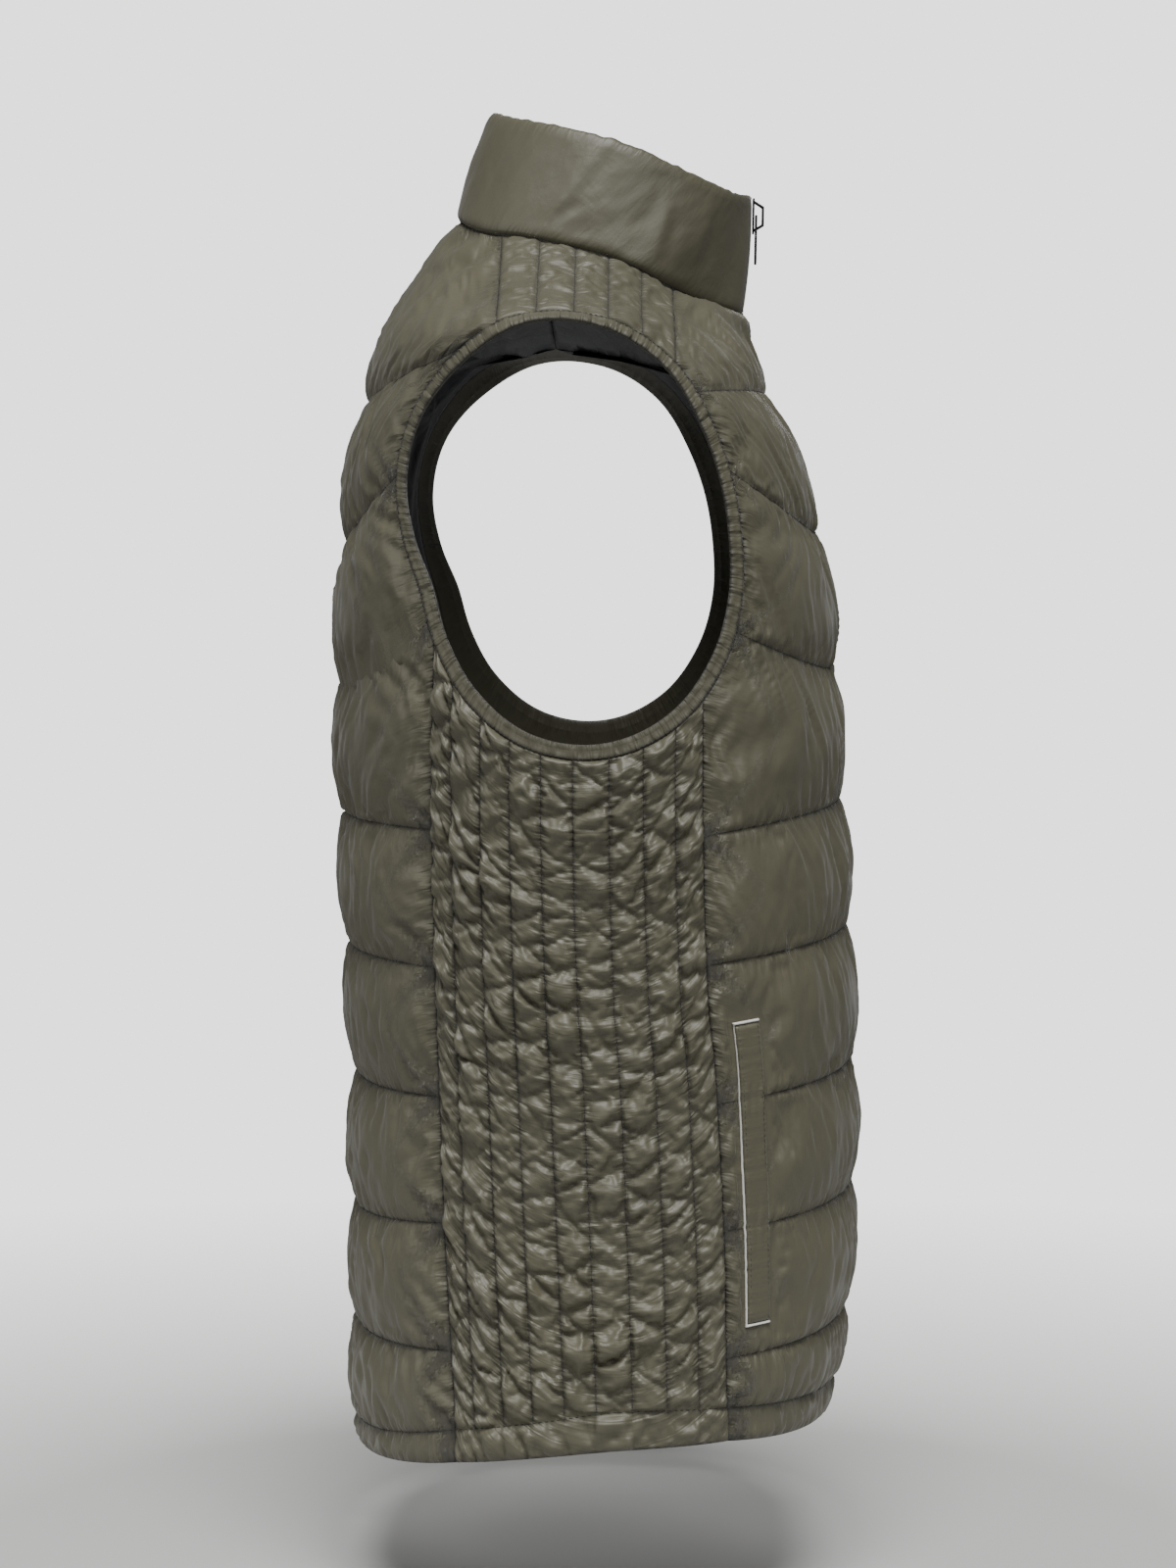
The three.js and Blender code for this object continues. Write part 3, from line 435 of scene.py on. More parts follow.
# %% The fronts and the back
def press_beside_zip(p):
    """Thins the padding at the zip. It is full from 0.3 of the front's width on."""
    full = np.clip(front_u / 0.05, 0, 1) ** 0.6 * (0.45 + 0.55 * np.clip(front_u / 0.3, 0, 1))
    away = p["outer"] - p["inner"]
    away = away / np.maximum(np.linalg.norm(away, axis=-1, keepdims=True), 1e-6)
    pressed = p["inner"] + away * WALL
    p["outer"] = p["outer"] + (1 - full)[None, :, None] * (pressed - p["outer"])


def both_halves(turn, z, u):
    """Half of the back and its mirror image, as one net."""
    return (np.concatenate([turn[:, ::-1], 2 * np.pi - turn[:, 1:]], 1),
            np.concatenate([z[:, ::-1], z[:, 1:]], 1), np.concatenate([u[::-1], u[1:]]))


channel = np.array([k + v for k, v in front_rows])
pocket_high = step_up(channel, 5.2, 5.42) * (1 - step_up(channel, 7.75, 7.95))
pocket_wide = step_up(front_u, 0.79, 0.83) * (1 - step_up(front_u, 0.945, 0.965))
pocket_flat = pocket_high[:, None] * pocket_wide[None, :]
for side, seed in [("right", 11), ("left", 23)]:
    quilt_wide(f"front_{side}", front_net, front_rows, front_u, FRONT_LINES, seed,
               mirror=side == "left", flat=pocket_flat)
    press_beside_zip(pieces[f"front_{side}"])
*back_full, back_full_u = both_halves(*back_net, back_u)
quilt_wide("back", back_full, back_rows, back_full_u, BACK_LINES, 37)
print({name: p["outer"].shape[:2] for name, p in pieces.items()})

# %% [markdown]
# ## Side panels and shoulder strips
#
# Under the arm and on the shoulder the lines stand upright and close together, about 20 mm apart.
# Thread draws the cloth in along each line, and the cloth between has nowhere to go but up. That is
# why these panels are so crinkled: they get more spare length along their lines than the fronts.
# Each channel also starts with creases that lean two ways, and small pillows stand between them.

# %% Narrow channels
SIDE_LINES = np.array([0, 0.073, 0.18, 0.288, 0.404, 0.522, 0.655, 0.782, 0.9, 1])
SIDE_HEM = table("share seam edge", [(0, -662.5, -681.6), (0.3, -655, -675.5), (0.6, -648.5, -671),
                                     (1, -649, -669)])
STRIP_LINES = np.array([0, 0.22, 0.43, 0.62, 0.81, 1])
hem_seam, hem_edge = curve(SIDE_HEM, "share", "seam"), curve(SIDE_HEM, "share", "edge")


def narrow_columns(lines, cells):
    """Shares across the panel, which of them are stitched, and how full the padding is there."""
    between = [np.linspace(a, b, cells, endpoint=False) for a, b in zip(lines, lines[1:])]
    share = np.concatenate([*between, [1.0]])
    place = np.arange(len(share)) % cells / cells
    return share, place == 0, pillow(place)


def side_net(rows, band_rows):
    share, stitched, full = narrow_columns(SIDE_LINES, 8)

    def side_y(z):
        return side_back(z) - SEAM_GAP + share * (side_front(z) - side_back(z) + 2 * SEAM_GAP)

    angle = solve(lambda a: panel_edge(a)[1] - side_y(panel_edge(a)[2]),
                  np.full(share.shape, corner["side_front"] - 4 * DEG),
                  np.full(share.shape, corner["side_back"] + 4 * DEG))
    top, seam, edge = panel_edge(angle)[2], hem_seam(share), hem_edge(share)
    z = np.concatenate([
        top + (seam - top) * np.linspace(0, 1, rows + 1)[:, None],
        seam + (edge - seam) * np.linspace(0, 1, band_rows + 1)[1:, None]])
    return turn_at_y(side_y(z), z), z, stitched, full


def strip_net(rows):
    share, stitched, full = narrow_columns(STRIP_LINES, 7)
    y = STRIP_BACK - SEAM_GAP + share * (STRIP_FRONT - STRIP_BACK + 2 * SEAM_GAP)
    angle = solve(lambda a: panel_edge(a)[1] - y, np.full(share.shape, corner["strip_back"] - 3 * DEG),
                  np.full(share.shape, corner["strip_front"] + 3 * DEG))
    neck = np.array([float(seam_turn(v)) for v in y])
    v = np.linspace(0, 1, rows + 1)[:, None]
    z = panel_edge(angle)[2] * (1 - v) + neck_z(neck) * v
    turn = turn_at_y(y, z)
    turn[-1] = neck
    return turn, z, stitched, full


def small_pillows(down, sideways, width, seed):
    """Pillows between two sets of leaning creases, lower in a channel under 20 mm wide."""
    one = abs(waves(down, sideways, 50, 0.45, 0.25, seed))
    two = abs(waves(down, sideways, 58, -0.6, 0.25, seed + 1))
    fine = 0.15 * waves(down, sideways, 12, 0.2, 0.8, seed + 2)
    return (2.4 * np.minimum(one, two) ** 0.8 - 0.9 + fine) * min(1, width / 20)


def quilt_narrow(name, net, seed, fullness, crumple, band=0, mirror=False):
    """A panel with narrow channels. Its last rows may be a hem band with one level channel."""
    turn, z, stitched, full = net
    inner = skin(turn, z)
    down, sideways = lengths(inner, 0), lengths(inner, 1)
    rows = len(z)
    swell = NARROW_PUFF * np.tile(full, (rows, 1))
    body_rows = rows - band
    ends = np.clip(np.arange(rows) / 2.5, 0, 1) ** 0.6
    ends = ends * np.clip((body_rows - 1 - np.arange(rows)) / 2.5, 0, 1) ** 0.6
    swell = swell * ends[:, None]
    if band:
        v = np.arange(1, band + 1) / band
        swell[body_rows:] = HEM_PUFF * pillow(v)[:, None] * (0.75 + 0.25 * full)[None, :]
    which = np.cumsum(stitched) - 1
    marks = sideways[:, stitched].mean(0)
    pillows = np.zeros(swell.shape)
    for c in range(which.max()):
        own = small_pillows(down, sideways, marks[c + 1] - marks[c], seed + 10 * c)
        pillows = np.where(which[None, :] == c, own, pillows)
    swell = 0.72 * swell + crumple * pillows * np.clip(swell / NARROW_PUFF, 0, 1) ** 0.4
    pin = np.zeros(swell.shape, bool)
    pin[:body_rows, stitched] = pin[:, 0] = pin[:, -1] = True
    pin[0] = pin[-1] = pin[body_rows - 1] = True
    spare = np.clip(fullness * (1 + 0.25 * waves(down, sideways, 45, 0.0, 1.0, seed + 2)), 0, 1)
    if band:
        spare[body_rows:] = 0.3
    stitch_rows = np.zeros(rows, bool)
    stitch_rows[[0, body_rows - 1, rows - 1]] = True
    gap = to_nearest(sideways, sideways[:, stitched])
    gap[body_rows:] = np.minimum(abs(down - down[body_rows - 1]), abs(down[-1] - down))[body_rows:]
    add_panel(name, mirror, outer=skin(turn, z, WALL + swell), inner=inner, spare=spare, pin=pin,
              cap=3.6, rows=stitch_rows, columns=stitched, along=down, gap=gap)


SIDE_ROWS, BAND_ROWS, STRIP_ROWS = 158, 5, 30
side_panel, shoulder_strip = side_net(SIDE_ROWS, BAND_ROWS), strip_net(STRIP_ROWS)
quilt_narrow("side_right", side_panel, 51, 0.38, 2.0, BAND_ROWS)
quilt_narrow("side_left", side_panel, 57, 0.38, 2.0, BAND_ROWS, mirror=True)
quilt_narrow("shoulder_right", shoulder_strip, 61, 0.25, 0.8)
quilt_narrow("shoulder_left", shoulder_strip, 67, 0.25, 0.8, mirror=True)
print({name: pieces[name]["outer"].shape[:2] for name in ("side_right", "shoulder_right")})

# %% [markdown]
# ## Letting the cloth go
#
# All the panels are put in one cloth, side by side but not joined, so one simulation serves them
# all. Stitched points are pinned. A negative shrink tells the cloth that it is really a little
# larger than it is drawn: by about 2 per cent on the wide channels, and by 4 or 5 on the narrow
# ones. Air pressure pushes it out, and the spare length folds into puckers.

# %% One cloth for all the panels
MOST_SPARE, LEAST_SPARE = 0.12, 0.012  # shares of the cloth's length, at a weight of 0 and of 1


def quads(index):
    return np.stack([index[:-1, :-1], index[:-1, 1:], index[1:, 1:], index[1:, :-1]], -1).reshape(-1, 4)


def outer_faces(p, first):
    """The faces of a panel's outer net, turned away from its inside, numbered from first on."""
    points = p["outer"].reshape(-1, 3)
    faces = quads(np.arange(len(points)).reshape(p["outer"].shape[:2]))
    a, b, d = (points[faces[0, i]] for i in (0, 1, 3))
    if np.dot(np.cross(b - a, d - a), (p["outer"] - p["inner"]).reshape(-1, 3).mean(0)) < 0:
        faces = faces[:, ::-1]
    return faces + first


def one_cloth(starts):
    """All outer nets in one object, with a group for what is stitched and one for spare length."""
    points = np.concatenate([p["outer"].reshape(-1, 3) for p in pieces.values()]) / 1000
    faces = np.concatenate([outer_faces(p, starts[name]) for name, p in pieces.items()])
    mesh = bpy.data.meshes.new("cloth")
    mesh.from_pydata(points.tolist(), [], faces.tolist())
    cloth = bpy.data.objects.new("cloth", mesh)
    bpy.context.scene.collection.objects.link(cloth)
    held = np.concatenate([p["pin"].ravel() for p in pieces.values()])
    spare = np.concatenate([p["spare"].ravel() for p in pieces.values()])
    cloth.vertex_groups.new(name="stitched").add(np.nonzero(held)[0].tolist(), 1.0, "REPLACE")
    snug = cloth.vertex_groups.new(name="snug")
    for i, share in enumerate(spare.tolist()):
        snug.add([i], 1 - share, "REPLACE")
    return cloth


counts = [len(p["pin"].ravel()) for p in pieces.values()]
starts = dict(zip(pieces, np.cumsum([0, *counts]).tolist()))
print("points in the cloth:", sum(counts))

# %% [markdown]
# The cloth is stiff along its threads, softer on the bias, and bends easily. Gravity is off,
# because the padding carries it, and the panels don't touch each other, so neither do collisions
# cost time. After twelve frames the puckers are there. No point moves further than its panel's
# cap, and no wall gets thinner than the least wall.

# %% The simulation
CLOTH = {
    "vertex_group_mass": "stitched", "pin_stiffness": 1.0,
    "vertex_group_shrink": "snug", "shrink_min": -MOST_SPARE, "shrink_max": -LEAST_SPARE,
    "quality": 6, "mass": 0.3, "air_damping": 4.0,
    "tension_stiffness": 20, "compression_stiffness": 20, "shear_stiffness": 5, "bending_stiffness": 0.3,
    "use_pressure": True, "uniform_pressure_force": 6.0,
}
FRAMES, LEAST_WALL = 12, 1.2


def simulated(cloth):
    """Lets the cloth go, and returns where its points are after the last frame, in millimetres."""
    sim = cloth.modifiers.new("cloth", "CLOTH")
    for title, value in CLOTH.items():
        setattr(sim.settings, title, value)
    sim.settings.effector_weights.gravity = 0
    sim.collision_settings.use_collision = sim.collision_settings.use_self_collision = False
    sim.point_cache.frame_start, sim.point_cache.frame_end = 1, FRAMES
    scene = bpy.context.scene
    for frame_number in range(1, FRAMES + 1):
        scene.frame_set(frame_number)
    seen = cloth.evaluated_get(bpy.context.evaluated_depsgraph_get()).to_mesh()
    moved = np.empty(len(seen.vertices) * 3)
    seen.vertices.foreach_get("co", moved)
    scene.frame_set(1)
    return moved.reshape(-1, 3) * 1000


def settle(p, moved):
    """Takes a panel's moved points over, within its cap. Returns how far they wanted to go."""
    away = p["outer"] - p["inner"]
    away = away / np.linalg.norm(away, axis=-1, keepdims=True)
    shift = moved.reshape(p["outer"].shape) - p["outer"]
    size = np.linalg.norm(shift, axis=-1, keepdims=True)
    shift *= np.tanh(size / p["cap"]) / np.maximum(size / p["cap"], 1e-6)
    p["outer"] = p["outer"] + shift
    thick = np.sum((p["outer"] - p["inner"]) * away, -1, keepdims=True)
    p["outer"] = p["outer"] + away * np.maximum(0, LEAST_WALL - thick)
    return size


cloth = one_cloth(starts)
moved = simulated(cloth)
mesh = cloth.data
bpy.data.objects.remove(cloth)
bpy.data.meshes.remove(mesh)
for (name, p), count in zip(pieces.items(), counts):
    size = settle(p, moved[starts[name]:starts[name] + count])
    print(f"{name}: moved {size.mean():.2f} mm on average, {size.max():.2f} at most")

# %% [markdown]
# ## From nets to closed walls
#
# A render wants rounder cloth than the net that was simulated. Each net is refined once, by fitting
# a smooth curve through its points, but never across a stitched line, so the lines stay sharp. A
# wall is then closed with a plain inside, because that side lies against the lining.

# %% Refining
NEEDLE_WIDTH = 0.9
PUCKERS = {  # length, depth and reach, in millimetres
    "front": (9.0, 0.45, 8.0), "back": (9.0, 0.45, 8.0), "side": (6.0, 0.42, 3.5), "shoulder": (6.0, 0.25, 3.0),
}


def halve(points, kinks):
    """Puts a point between each two along the first axis, smooth except at the kinks."""
    stops = [0, *[i for i in np.nonzero(kinks)[0] if 0 < i < len(points) - 1], len(points) - 1]
    out = []
    for a, b in zip(stops, stops[1:]):
        run = points[a:b + 1]
        middle = (run[:-1] + run[1:]) / 2
        if len(run) > 3:
            middle[1:-1] = (9 * (run[1:-2] + run[2:-1]) - run[:-3] - run[3:]) / 16
            middle[0] = (3 * run[0] + 6 * run[1] - run[2]) / 8
            middle[-1] = (3 * run[-1] + 6 * run[-2] - run[-3]) / 8
        out.append(np.stack([run[:-1], middle], 1).reshape(-1, *run.shape[1:]))
    return np.concatenate([*out, points[-1:]])


def refine(p):
    """Halves a panel's net both ways. Its stitched rows and columns stay kinks."""
    for key in ("outer", "along", "gap"):
        by_rows = halve(p[key], p["rows"])
        p["fine_" + key] = np.swapaxes(halve(np.swapaxes(by_rows, 0, 1), p["columns"]), 0, 1)
    for axis, key in enumerate(("rows", "columns")):
        p["fine_" + key] = np.zeros(p["fine_outer"].shape[axis], bool)
        p["fine_" + key][::2] = p[key]


def pucker(p, length, depth, reach, seed):
    """Short puckers that run away from the stitched lines and die out within their reach."""
    points, gap = p["fine_outer"], p["fine_gap"]
    away = np.cross(np.gradient(points, axis=1), np.gradient(points, axis=0))
    away /= np.maximum(np.linalg.norm(away, axis=-1, keepdims=True), 1e-9)
    if np.sum(away[::2, ::2] * (points[::2, ::2] - p["inner"])) < 0:
        away = -away
    size = depth * waves(p["fine_along"], gap, length, 0.0, 0.3, seed)
    size = size * np.exp(-gap / reach) * (1 - np.exp(-gap / NEEDLE_WIDTH))
    p["fine_outer"] = points + away * size[..., None]


print("pucker lengths:", {name: length for name, (length, _, _) in PUCKERS.items()})

# %% Closing
def add_mesh(name, points, faces, values=None):
    """A piece from points in millimetres. Its faces are turned outwards if it is closed."""
    mesh = bpy.data.meshes.new(name)
    points = np.asarray(points, float).reshape(-1, 3) / 1000
    mesh.from_pydata(points.tolist(), [], faces)
    mesh.update()
    mesh.calc_loop_triangles()
    corners = np.empty(len(mesh.loop_triangles) * 3, int)
    mesh.loop_triangles.foreach_get("vertices", corners)
    a, b, c = (points[corners.reshape(-1, 3)[:, i]] for i in range(3))
    if np.einsum("ij,ij->", a, np.cross(b, c)) < 0:
        mesh.flip_normals()
    for title, numbers in (values or {}).items():
        attribute = mesh.attributes.new(title, "FLOAT", "POINT")
        attribute.data.foreach_set("value", np.ravel(numbers).astype(float))
    mesh.shade_smooth()
    piece = bpy.data.objects.new(name + "_cloth", mesh)
    bpy.context.scene.collection.objects.link(piece)
    return piece


def padded_wall(name, p):
    """Closes a refined outside over its plain inside, half as fine."""
    fine, plain = p["fine_outer"], p["inner"]
    (R, C), (r, c) = fine.shape[:2], plain.shape[:2]
    F, I = np.arange(R * C).reshape(R, C), R * C + np.arange(r * c).reshape(r, c)
    faces = quads(F).tolist() + quads(I)[:, ::-1].tolist()
    rims = [
        (F[0, ::-1], I[0, ::-1]), (F[-1], I[-1]), (F[:, 0], I[:, 0]), (F[::-1, -1], I[::-1, -1]),
    ]
    for outer, inner in rims:
        for j in range(len(inner) - 1):
            faces.append([*outer[2 * j:2 * j + 3].tolist(), int(inner[j + 1]), int(inner[j])])
    values = {key: np.concatenate([p["fine_" + key].ravel(), p[key].ravel()]) for key in ("along", "gap")}
    return add_mesh(name, np.concatenate([fine.reshape(-1, 3), plain.reshape(-1, 3)]), faces, values)


walls = {}
for number, (name, p) in enumerate(pieces.items()):
    thinnest = float(np.linalg.norm(p["outer"] - p["inner"], axis=-1).min())
    refine(p)
    pucker(p, *PUCKERS[name.split("_")[0]], seed=300 + number)
    walls[name] = padded_wall(name, p)
    print(name, len(walls[name].data.polygons), "faces, thinnest", round(thinnest, 2), "mm")

# %% [markdown]
# ## Materials
#
# Shader maths reads best as plain expressions. A small class wraps a socket, so that masks can be
# added and multiplied with Python's own signs. Every other node comes from one method.

# %% A small language for materials
class Wire:
    def __init__(self, finish, socket):
        self.finish, self.socket = finish, socket

    def math(self, operation, *values, clamp=False):
        return self.finish.node("ShaderNodeMath", {"operation": operation, "use_clamp": clamp},
                                dict(enumerate([self, *values])))

    def __add__(self, other): return self.math("ADD", other)
    def __mul__(self, other): return self.math("MULTIPLY", other)
    def __sub__(self, other): return self.math("SUBTRACT", other)
    def __neg__(self): return self.math("MULTIPLY", -1)
    def __rsub__(self, other): return -self + other
    __radd__, __rmul__ = __add__, __mul__

    def clamped(self): return self.math("ADD", 0, clamp=True)
    def exp(self): return self.math("EXPONENT")


class Nodes:
    """A node tree that is filled by one method."""

    def __init__(self, tree):
        self.tree = tree

    def node(self, kind, settings=None, values=None, out=0):
        node = self.tree.nodes.new(kind)
        for title, value in (settings or {}).items():
            if title == "stops":
                ramp = node.color_ramp.elements
                while len(ramp) < len(value):
                    ramp.new(0.5)
                for stop, (at, color) in zip(ramp, value):
                    stop.position, stop.color = at, color
            else:
                setattr(node, title, value)
        for title, value in (values or {}).items():
            if isinstance(value, Wire):
                self.tree.links.new(value.socket, node.inputs[title])
            else:
                node.inputs[title].default_value = value
        return Wire(self, node.outputs[out])


class Finish(Nodes):
    """A material on a Principled shader. What is the same all over is set on the shader itself."""

    def __init__(self, name, **constant):
        self.material = bpy.data.materials.new(name)
        self.material.use_nodes = True
        super().__init__(self.material.node_tree)
        self.shader = self.tree.nodes["Principled BSDF"]
        for title, value in constant.items():
            self.shader.inputs[title.replace("_", " ")].default_value = value

    def place(self): return self.node("ShaderNodeTexCoord", out="Object")
    def value(self, title): return self.node("ShaderNodeAttribute", {"attribute_name": title}, out="Fac")

    def vector(self, x=0.0, y=0.0, z=0.0):
        return self.node("ShaderNodeCombineXYZ", values={"X": x, "Y": y, "Z": z})

    def noise(self, vector, scale, detail=2.0, rough=0.5, warp=0.0):
        return self.node("ShaderNodeTexNoise", values={
            "Vector": vector, "Scale": scale, "Detail": detail, "Roughness": rough, "Distortion": warp})

    def mix(self, share, a, b):
        return self.node("ShaderNodeMix", {"data_type": "RGBA"}, {0: share, 6: a, 7: b}, out=2)

    def bump(self, height, distance, strength=1.0):
        return self.node("ShaderNodeBump", out="Normal", values={
            "Height": height, "Distance": distance, "Strength": strength})

    def set(self, title, wire):
        self.tree.links.new(wire.socket, self.shader.inputs[title])

# %% [markdown]
# ## The shell cloth
#
# The shell is a thin olive polyester with a soft satin shine. Three things make it read as cloth: a
# weave too fine to count, fine pulls that run across the channels and gather at the stitched lines,
# and painted shade, a colour that is darker where the cloth dips into a seam. The distance to the
# nearest line and the place along it come with each piece, so the pulls and the painted shade follow the
# sewing.

# %% Olive shell
OLIVE, OLIVE_SEAM_SHADE, OLIVE_WARM = (0.094, 0.089, 0.058, 1), (0.04, 0.037, 0.025, 1), (0.108, 0.1, 0.064, 1)


def olive_cloth(name, pull=1.0, creases=1.0):
    f = Finish(name, Sheen_Weight=0.12, Sheen_Roughness=0.35, Specular_IOR_Level=0.55)
    place = f.place()
    gap, along = f.value("gap"), f.value("along")
    # near and seam fall off with the distance to the nearest stitched line; both darken the base colour there
    # as painted shade, and near also sets the depth of the pulls
    near = (gap * -0.16).exp()
    seam = (gap * -0.9).exp()
    pulls = f.noise(f.vector(along * 0.21, gap * 0.05, f.noise(place, 6) * 1.2), 1.0, 2.0, 0.55, 0.3)
    soft = f.noise(place, 38, 3.0, 0.55, 0.5)
    grain = f.noise(place, 1400, 1.0)
    shade = f.noise(place, 9, 2.0)
    color = f.mix((shade * 1.6 - 0.4).clamped(), OLIVE, OLIVE_WARM)
    # painted shade: the base colour is mixed towards a dark olive close to each stitched line, where the cloth
    # dips into a seam
    f.set("Base Color", f.mix((seam * 0.85 + near * 0.12).clamped(), color, OLIVE_SEAM_SHADE))
    f.set("Roughness", (soft * 0.16 + seam * 0.2 + 0.42).clamped())
    height = pulls * (near * 2.4 + 0.15) * pull + soft * 0.5 * creases + grain * 0.03
    f.set("Normal", f.bump(height, 0.0016, 1.0))
    return f.material


shell = olive_cloth("olive_shell")
for name, wall in walls.items():
    wall.data.materials.append(shell)
print("shell cloth on", len(walls), "pieces")

# %% [markdown]
# ## The stand collar
#
# The collar has no quilting. It is a padded strip that stands on the neck seam, fuller behind than
# beside the zip. Where it bends round the neck its cloth is too long for the bend, so it breaks
# into a few soft, leaning creases. They are listed one by one, because each one is seen on its own.

# %% Collar shape
COLLAR_TOP = table("y z", [(-105, 74), (-96, 73), (-64, 84), (-28, 99), (11, 110), (45, 119), (58, 125)])
COLLAR_Y, COLLAR_DEPTH, COLLAR_HALF, COLLAR_WALL = -23.5, 81.5, 76.0, 5.2
collar_top = curve(COLLAR_TOP, "y", "z")


def full_at(turn):
    turn = np.asarray(turn, float)
    return step_up(np.minimum(abs(turn), 2 * np.pi - turn), 0.2, 0.6)


def collar_point(turn, up, out):
    """A place on the collar: turn round the neck, share of its height, distance off its inside."""
    turn, up, out = np.broadcast_arrays(*(np.asarray(v, float) for v in (turn, up, out)))
    seam = skin(turn, neck_z(turn))
    rim = skin(turn, neck_z(turn), WALL)
    base = np.stack([seam[..., 0], seam[..., 1], rim[..., 2] + 0.4 + 0.25 * np.maximum(0, out - 0.2)], -1)
    s, c = np.sin(turn), np.cos(turn)
    around = np.stack([-s / COLLAR_HALF, -c / COLLAR_DEPTH, 0 * s], -1)
    around /= np.linalg.norm(around, axis=-1, keepdims=True)
    top_y = COLLAR_Y - COLLAR_DEPTH * c
    top = np.stack([-COLLAR_HALF * s, top_y, 0 * s], -1)
    top = top - around * (1.6 + (COLLAR_WALL - 2.4) * full_at(turn))[..., None]
    top[..., 2] = collar_top(top_y)
    bulge = out + 1.5 * np.sin(np.pi * up)
    return base + (top - base) * up[..., None] + around * bulge[..., None]


def collar_turn_at_x(x, up):
    up = np.asarray(up, float)
    return solve(lambda t: -collar_point(t, up, 0)[..., 0] - x, np.zeros(up.shape), np.full(up.shape, 0.6))


def thick_profile(v, rounded=0.16):
    """Round shoulders at both ends of a wall's cut."""
    edge = np.clip(np.minimum(v, 1 - v) / rounded, 0, 1)
    return np.sqrt(1 - (1 - edge) ** 2)


def crease(along, up, at, start, end, width, lean):
    """One soft crease from start to end of the height, leaning as it rises."""
    line = at + lean * (up - (start + end) / 2)
    fade = step_up(up, start - 0.08, start + 0.12) * (1 - step_up(up, end - 0.12, end + 0.08))
    return np.exp(-((along - line) / width) ** 2) * fade


def collar_net(rows, columns):
    up = np.linspace(0, 1, rows)[:, None]
    edge = collar_turn_at_x(FRONT_EDGE, up[:, 0])[:, None]
    s = np.linspace(0, 1, columns)[None, :]
    turn = edge + (2 * np.pi - 2 * edge) * (s - 0.05 * np.sin(2 * np.pi * s))
    up = up + 0 * turn
    outer_off = 2.2 + (4.9 - 2.2) * full_at(turn)
    low_edge = 0.55 + 0.45 * np.clip(up / 0.07, 0, 1) ** 0.5
    high_edge = 0.6 + 0.4 * np.clip((1 - up) / 0.09, 0, 1) ** 0.5
    outer_off = 0.3 + outer_off * low_edge * high_edge
    inner_off = 0.1 + 0.5 * (1 - np.clip((1 - up) / 0.09, 0, 1) ** 0.5) * full_at(turn)
    return turn, up, outer_off, inner_off


print("collar, middle of the back:", round(float(collar_top(58) - neck_z(np.pi))), "mm high")

# %% The collar's creases
COLLAR_ROWS, COLLAR_COLUMNS = 37, 229
CREASES = table("at start end width lean depth", [
    (52, 0.1, 0.75, 5, 30, -0.9), (60, 0.12, 0.8, 6, 34, 1.0), (78, 0.05, 0.6, 6, 26, -1.0),
    (88, 0.1, 0.7, 5, 30, 0.8), (104, 0.3, 0.95, 7, 16, -0.8), (120, 0.05, 0.5, 6, 20, 0.7),
    (140, 0.1, 0.9, 5, 4, -1.1), (148, 0.15, 0.9, 6, 6, 0.8), (176, 0.2, 0.9, 8, -8, -0.6),
    (38, 0.1, 0.6, 6, 20, 0.6), (200, 0.1, 0.7, 7, 6, -0.6), (222, 0.3, 0.9, 8, -6, 0.5)])
turn, up, outer_off, inner_off = collar_net(COLLAR_ROWS, COLLAR_COLUMNS)
round_mm = lengths(collar_point(turn, up, 0), 1)[COLLAR_ROWS // 2][None, :] + 0 * up
half_round = round_mm.max() / 2
place = half_round - abs(round_mm - half_round)
by_side = np.where(round_mm < half_round, 1, 0.7)  # the left half is creased less
soft = full_at(turn) * np.sin(np.pi * np.clip(up, 0, 1)) ** 0.5
creases = 0 * up
for at, start, end, width, lean, depth in zip(*CREASES.values()):
    creases = creases + depth * crease(place, up, at, start, end, width, lean) * by_side
lump = waves(round_mm, up * 70, 46, 0.2, 0.7, 71) * 0.35 + waves(round_mm, up * 70, 17, 0.5, 0.6, 72) * 0.12
top_bumps = waves(round_mm, 0 * up, 15, 0.0, 0.2, 73) * 0.3 * step_up(up, 0.72, 0.97)
collar_outer = collar_point(turn, up, outer_off + soft * (creases + lump))
collar_outer[..., 2] += top_bumps * full_at(turn)
collar_inner = collar_point(turn, up, inner_off + 0.4 * soft * waves(round_mm, up * 70, 30, 0.3, 0.6, 74))
rim = up[:, 0] > 0.97  # the topmost rows end level with the outside
collar_inner[rim, :, 2] = collar_outer[rim, :, 2]
print("creases in the collar:", len(CREASES["at"]), "on each side")

# %% Closing the collar
def closed_wall(name, outer, inner, values=None):
    """Closes two nets of the same size into one body, with one row between them at each rim."""
    R, C = outer.shape[:2]
    O, I = np.arange(R * C).reshape(R, C), R * C + np.arange(R * C).reshape(R, C)
    faces = quads(O).tolist() + quads(I)[:, ::-1].tolist()
    rims = [(O[0, ::-1], I[0, ::-1]), (O[-1], I[-1]), (O[:, 0], I[:, 0]), (O[::-1, -1], I[::-1, -1])]
    for o, i in rims:
        faces += [[int(o[j]), int(o[j + 1]), int(i[j + 1]), int(i[j])] for j in range(len(o) - 1)]
    both = {title: np.concatenate([np.ravel(v), np.ravel(v)]) for title, v in (values or {}).items()}
    return add_mesh(name, np.concatenate([outer.reshape(-1, 3), inner.reshape(-1, 3)]), faces, both)


collar_gap = np.minimum(up, 1 - up) * 75 + 9
collar = closed_wall("collar", collar_outer, collar_inner, {"along": round_mm, "gap": collar_gap})
collar.data.materials.append(shell)
print("collar:", round(float(round_mm.max())), "mm round,", len(collar.data.polygons), "faces")

# %% [markdown]
# ## The armhole border
#
# Each armhole is finished with a facing that is turned to the inside. From the outside one sees a
# flat border 9 mm wide, its rolled edge, and a line of topstitching 8 mm in. Turning a straight
# strip round a curve leaves it too long on one side, so it puckers all the way round.

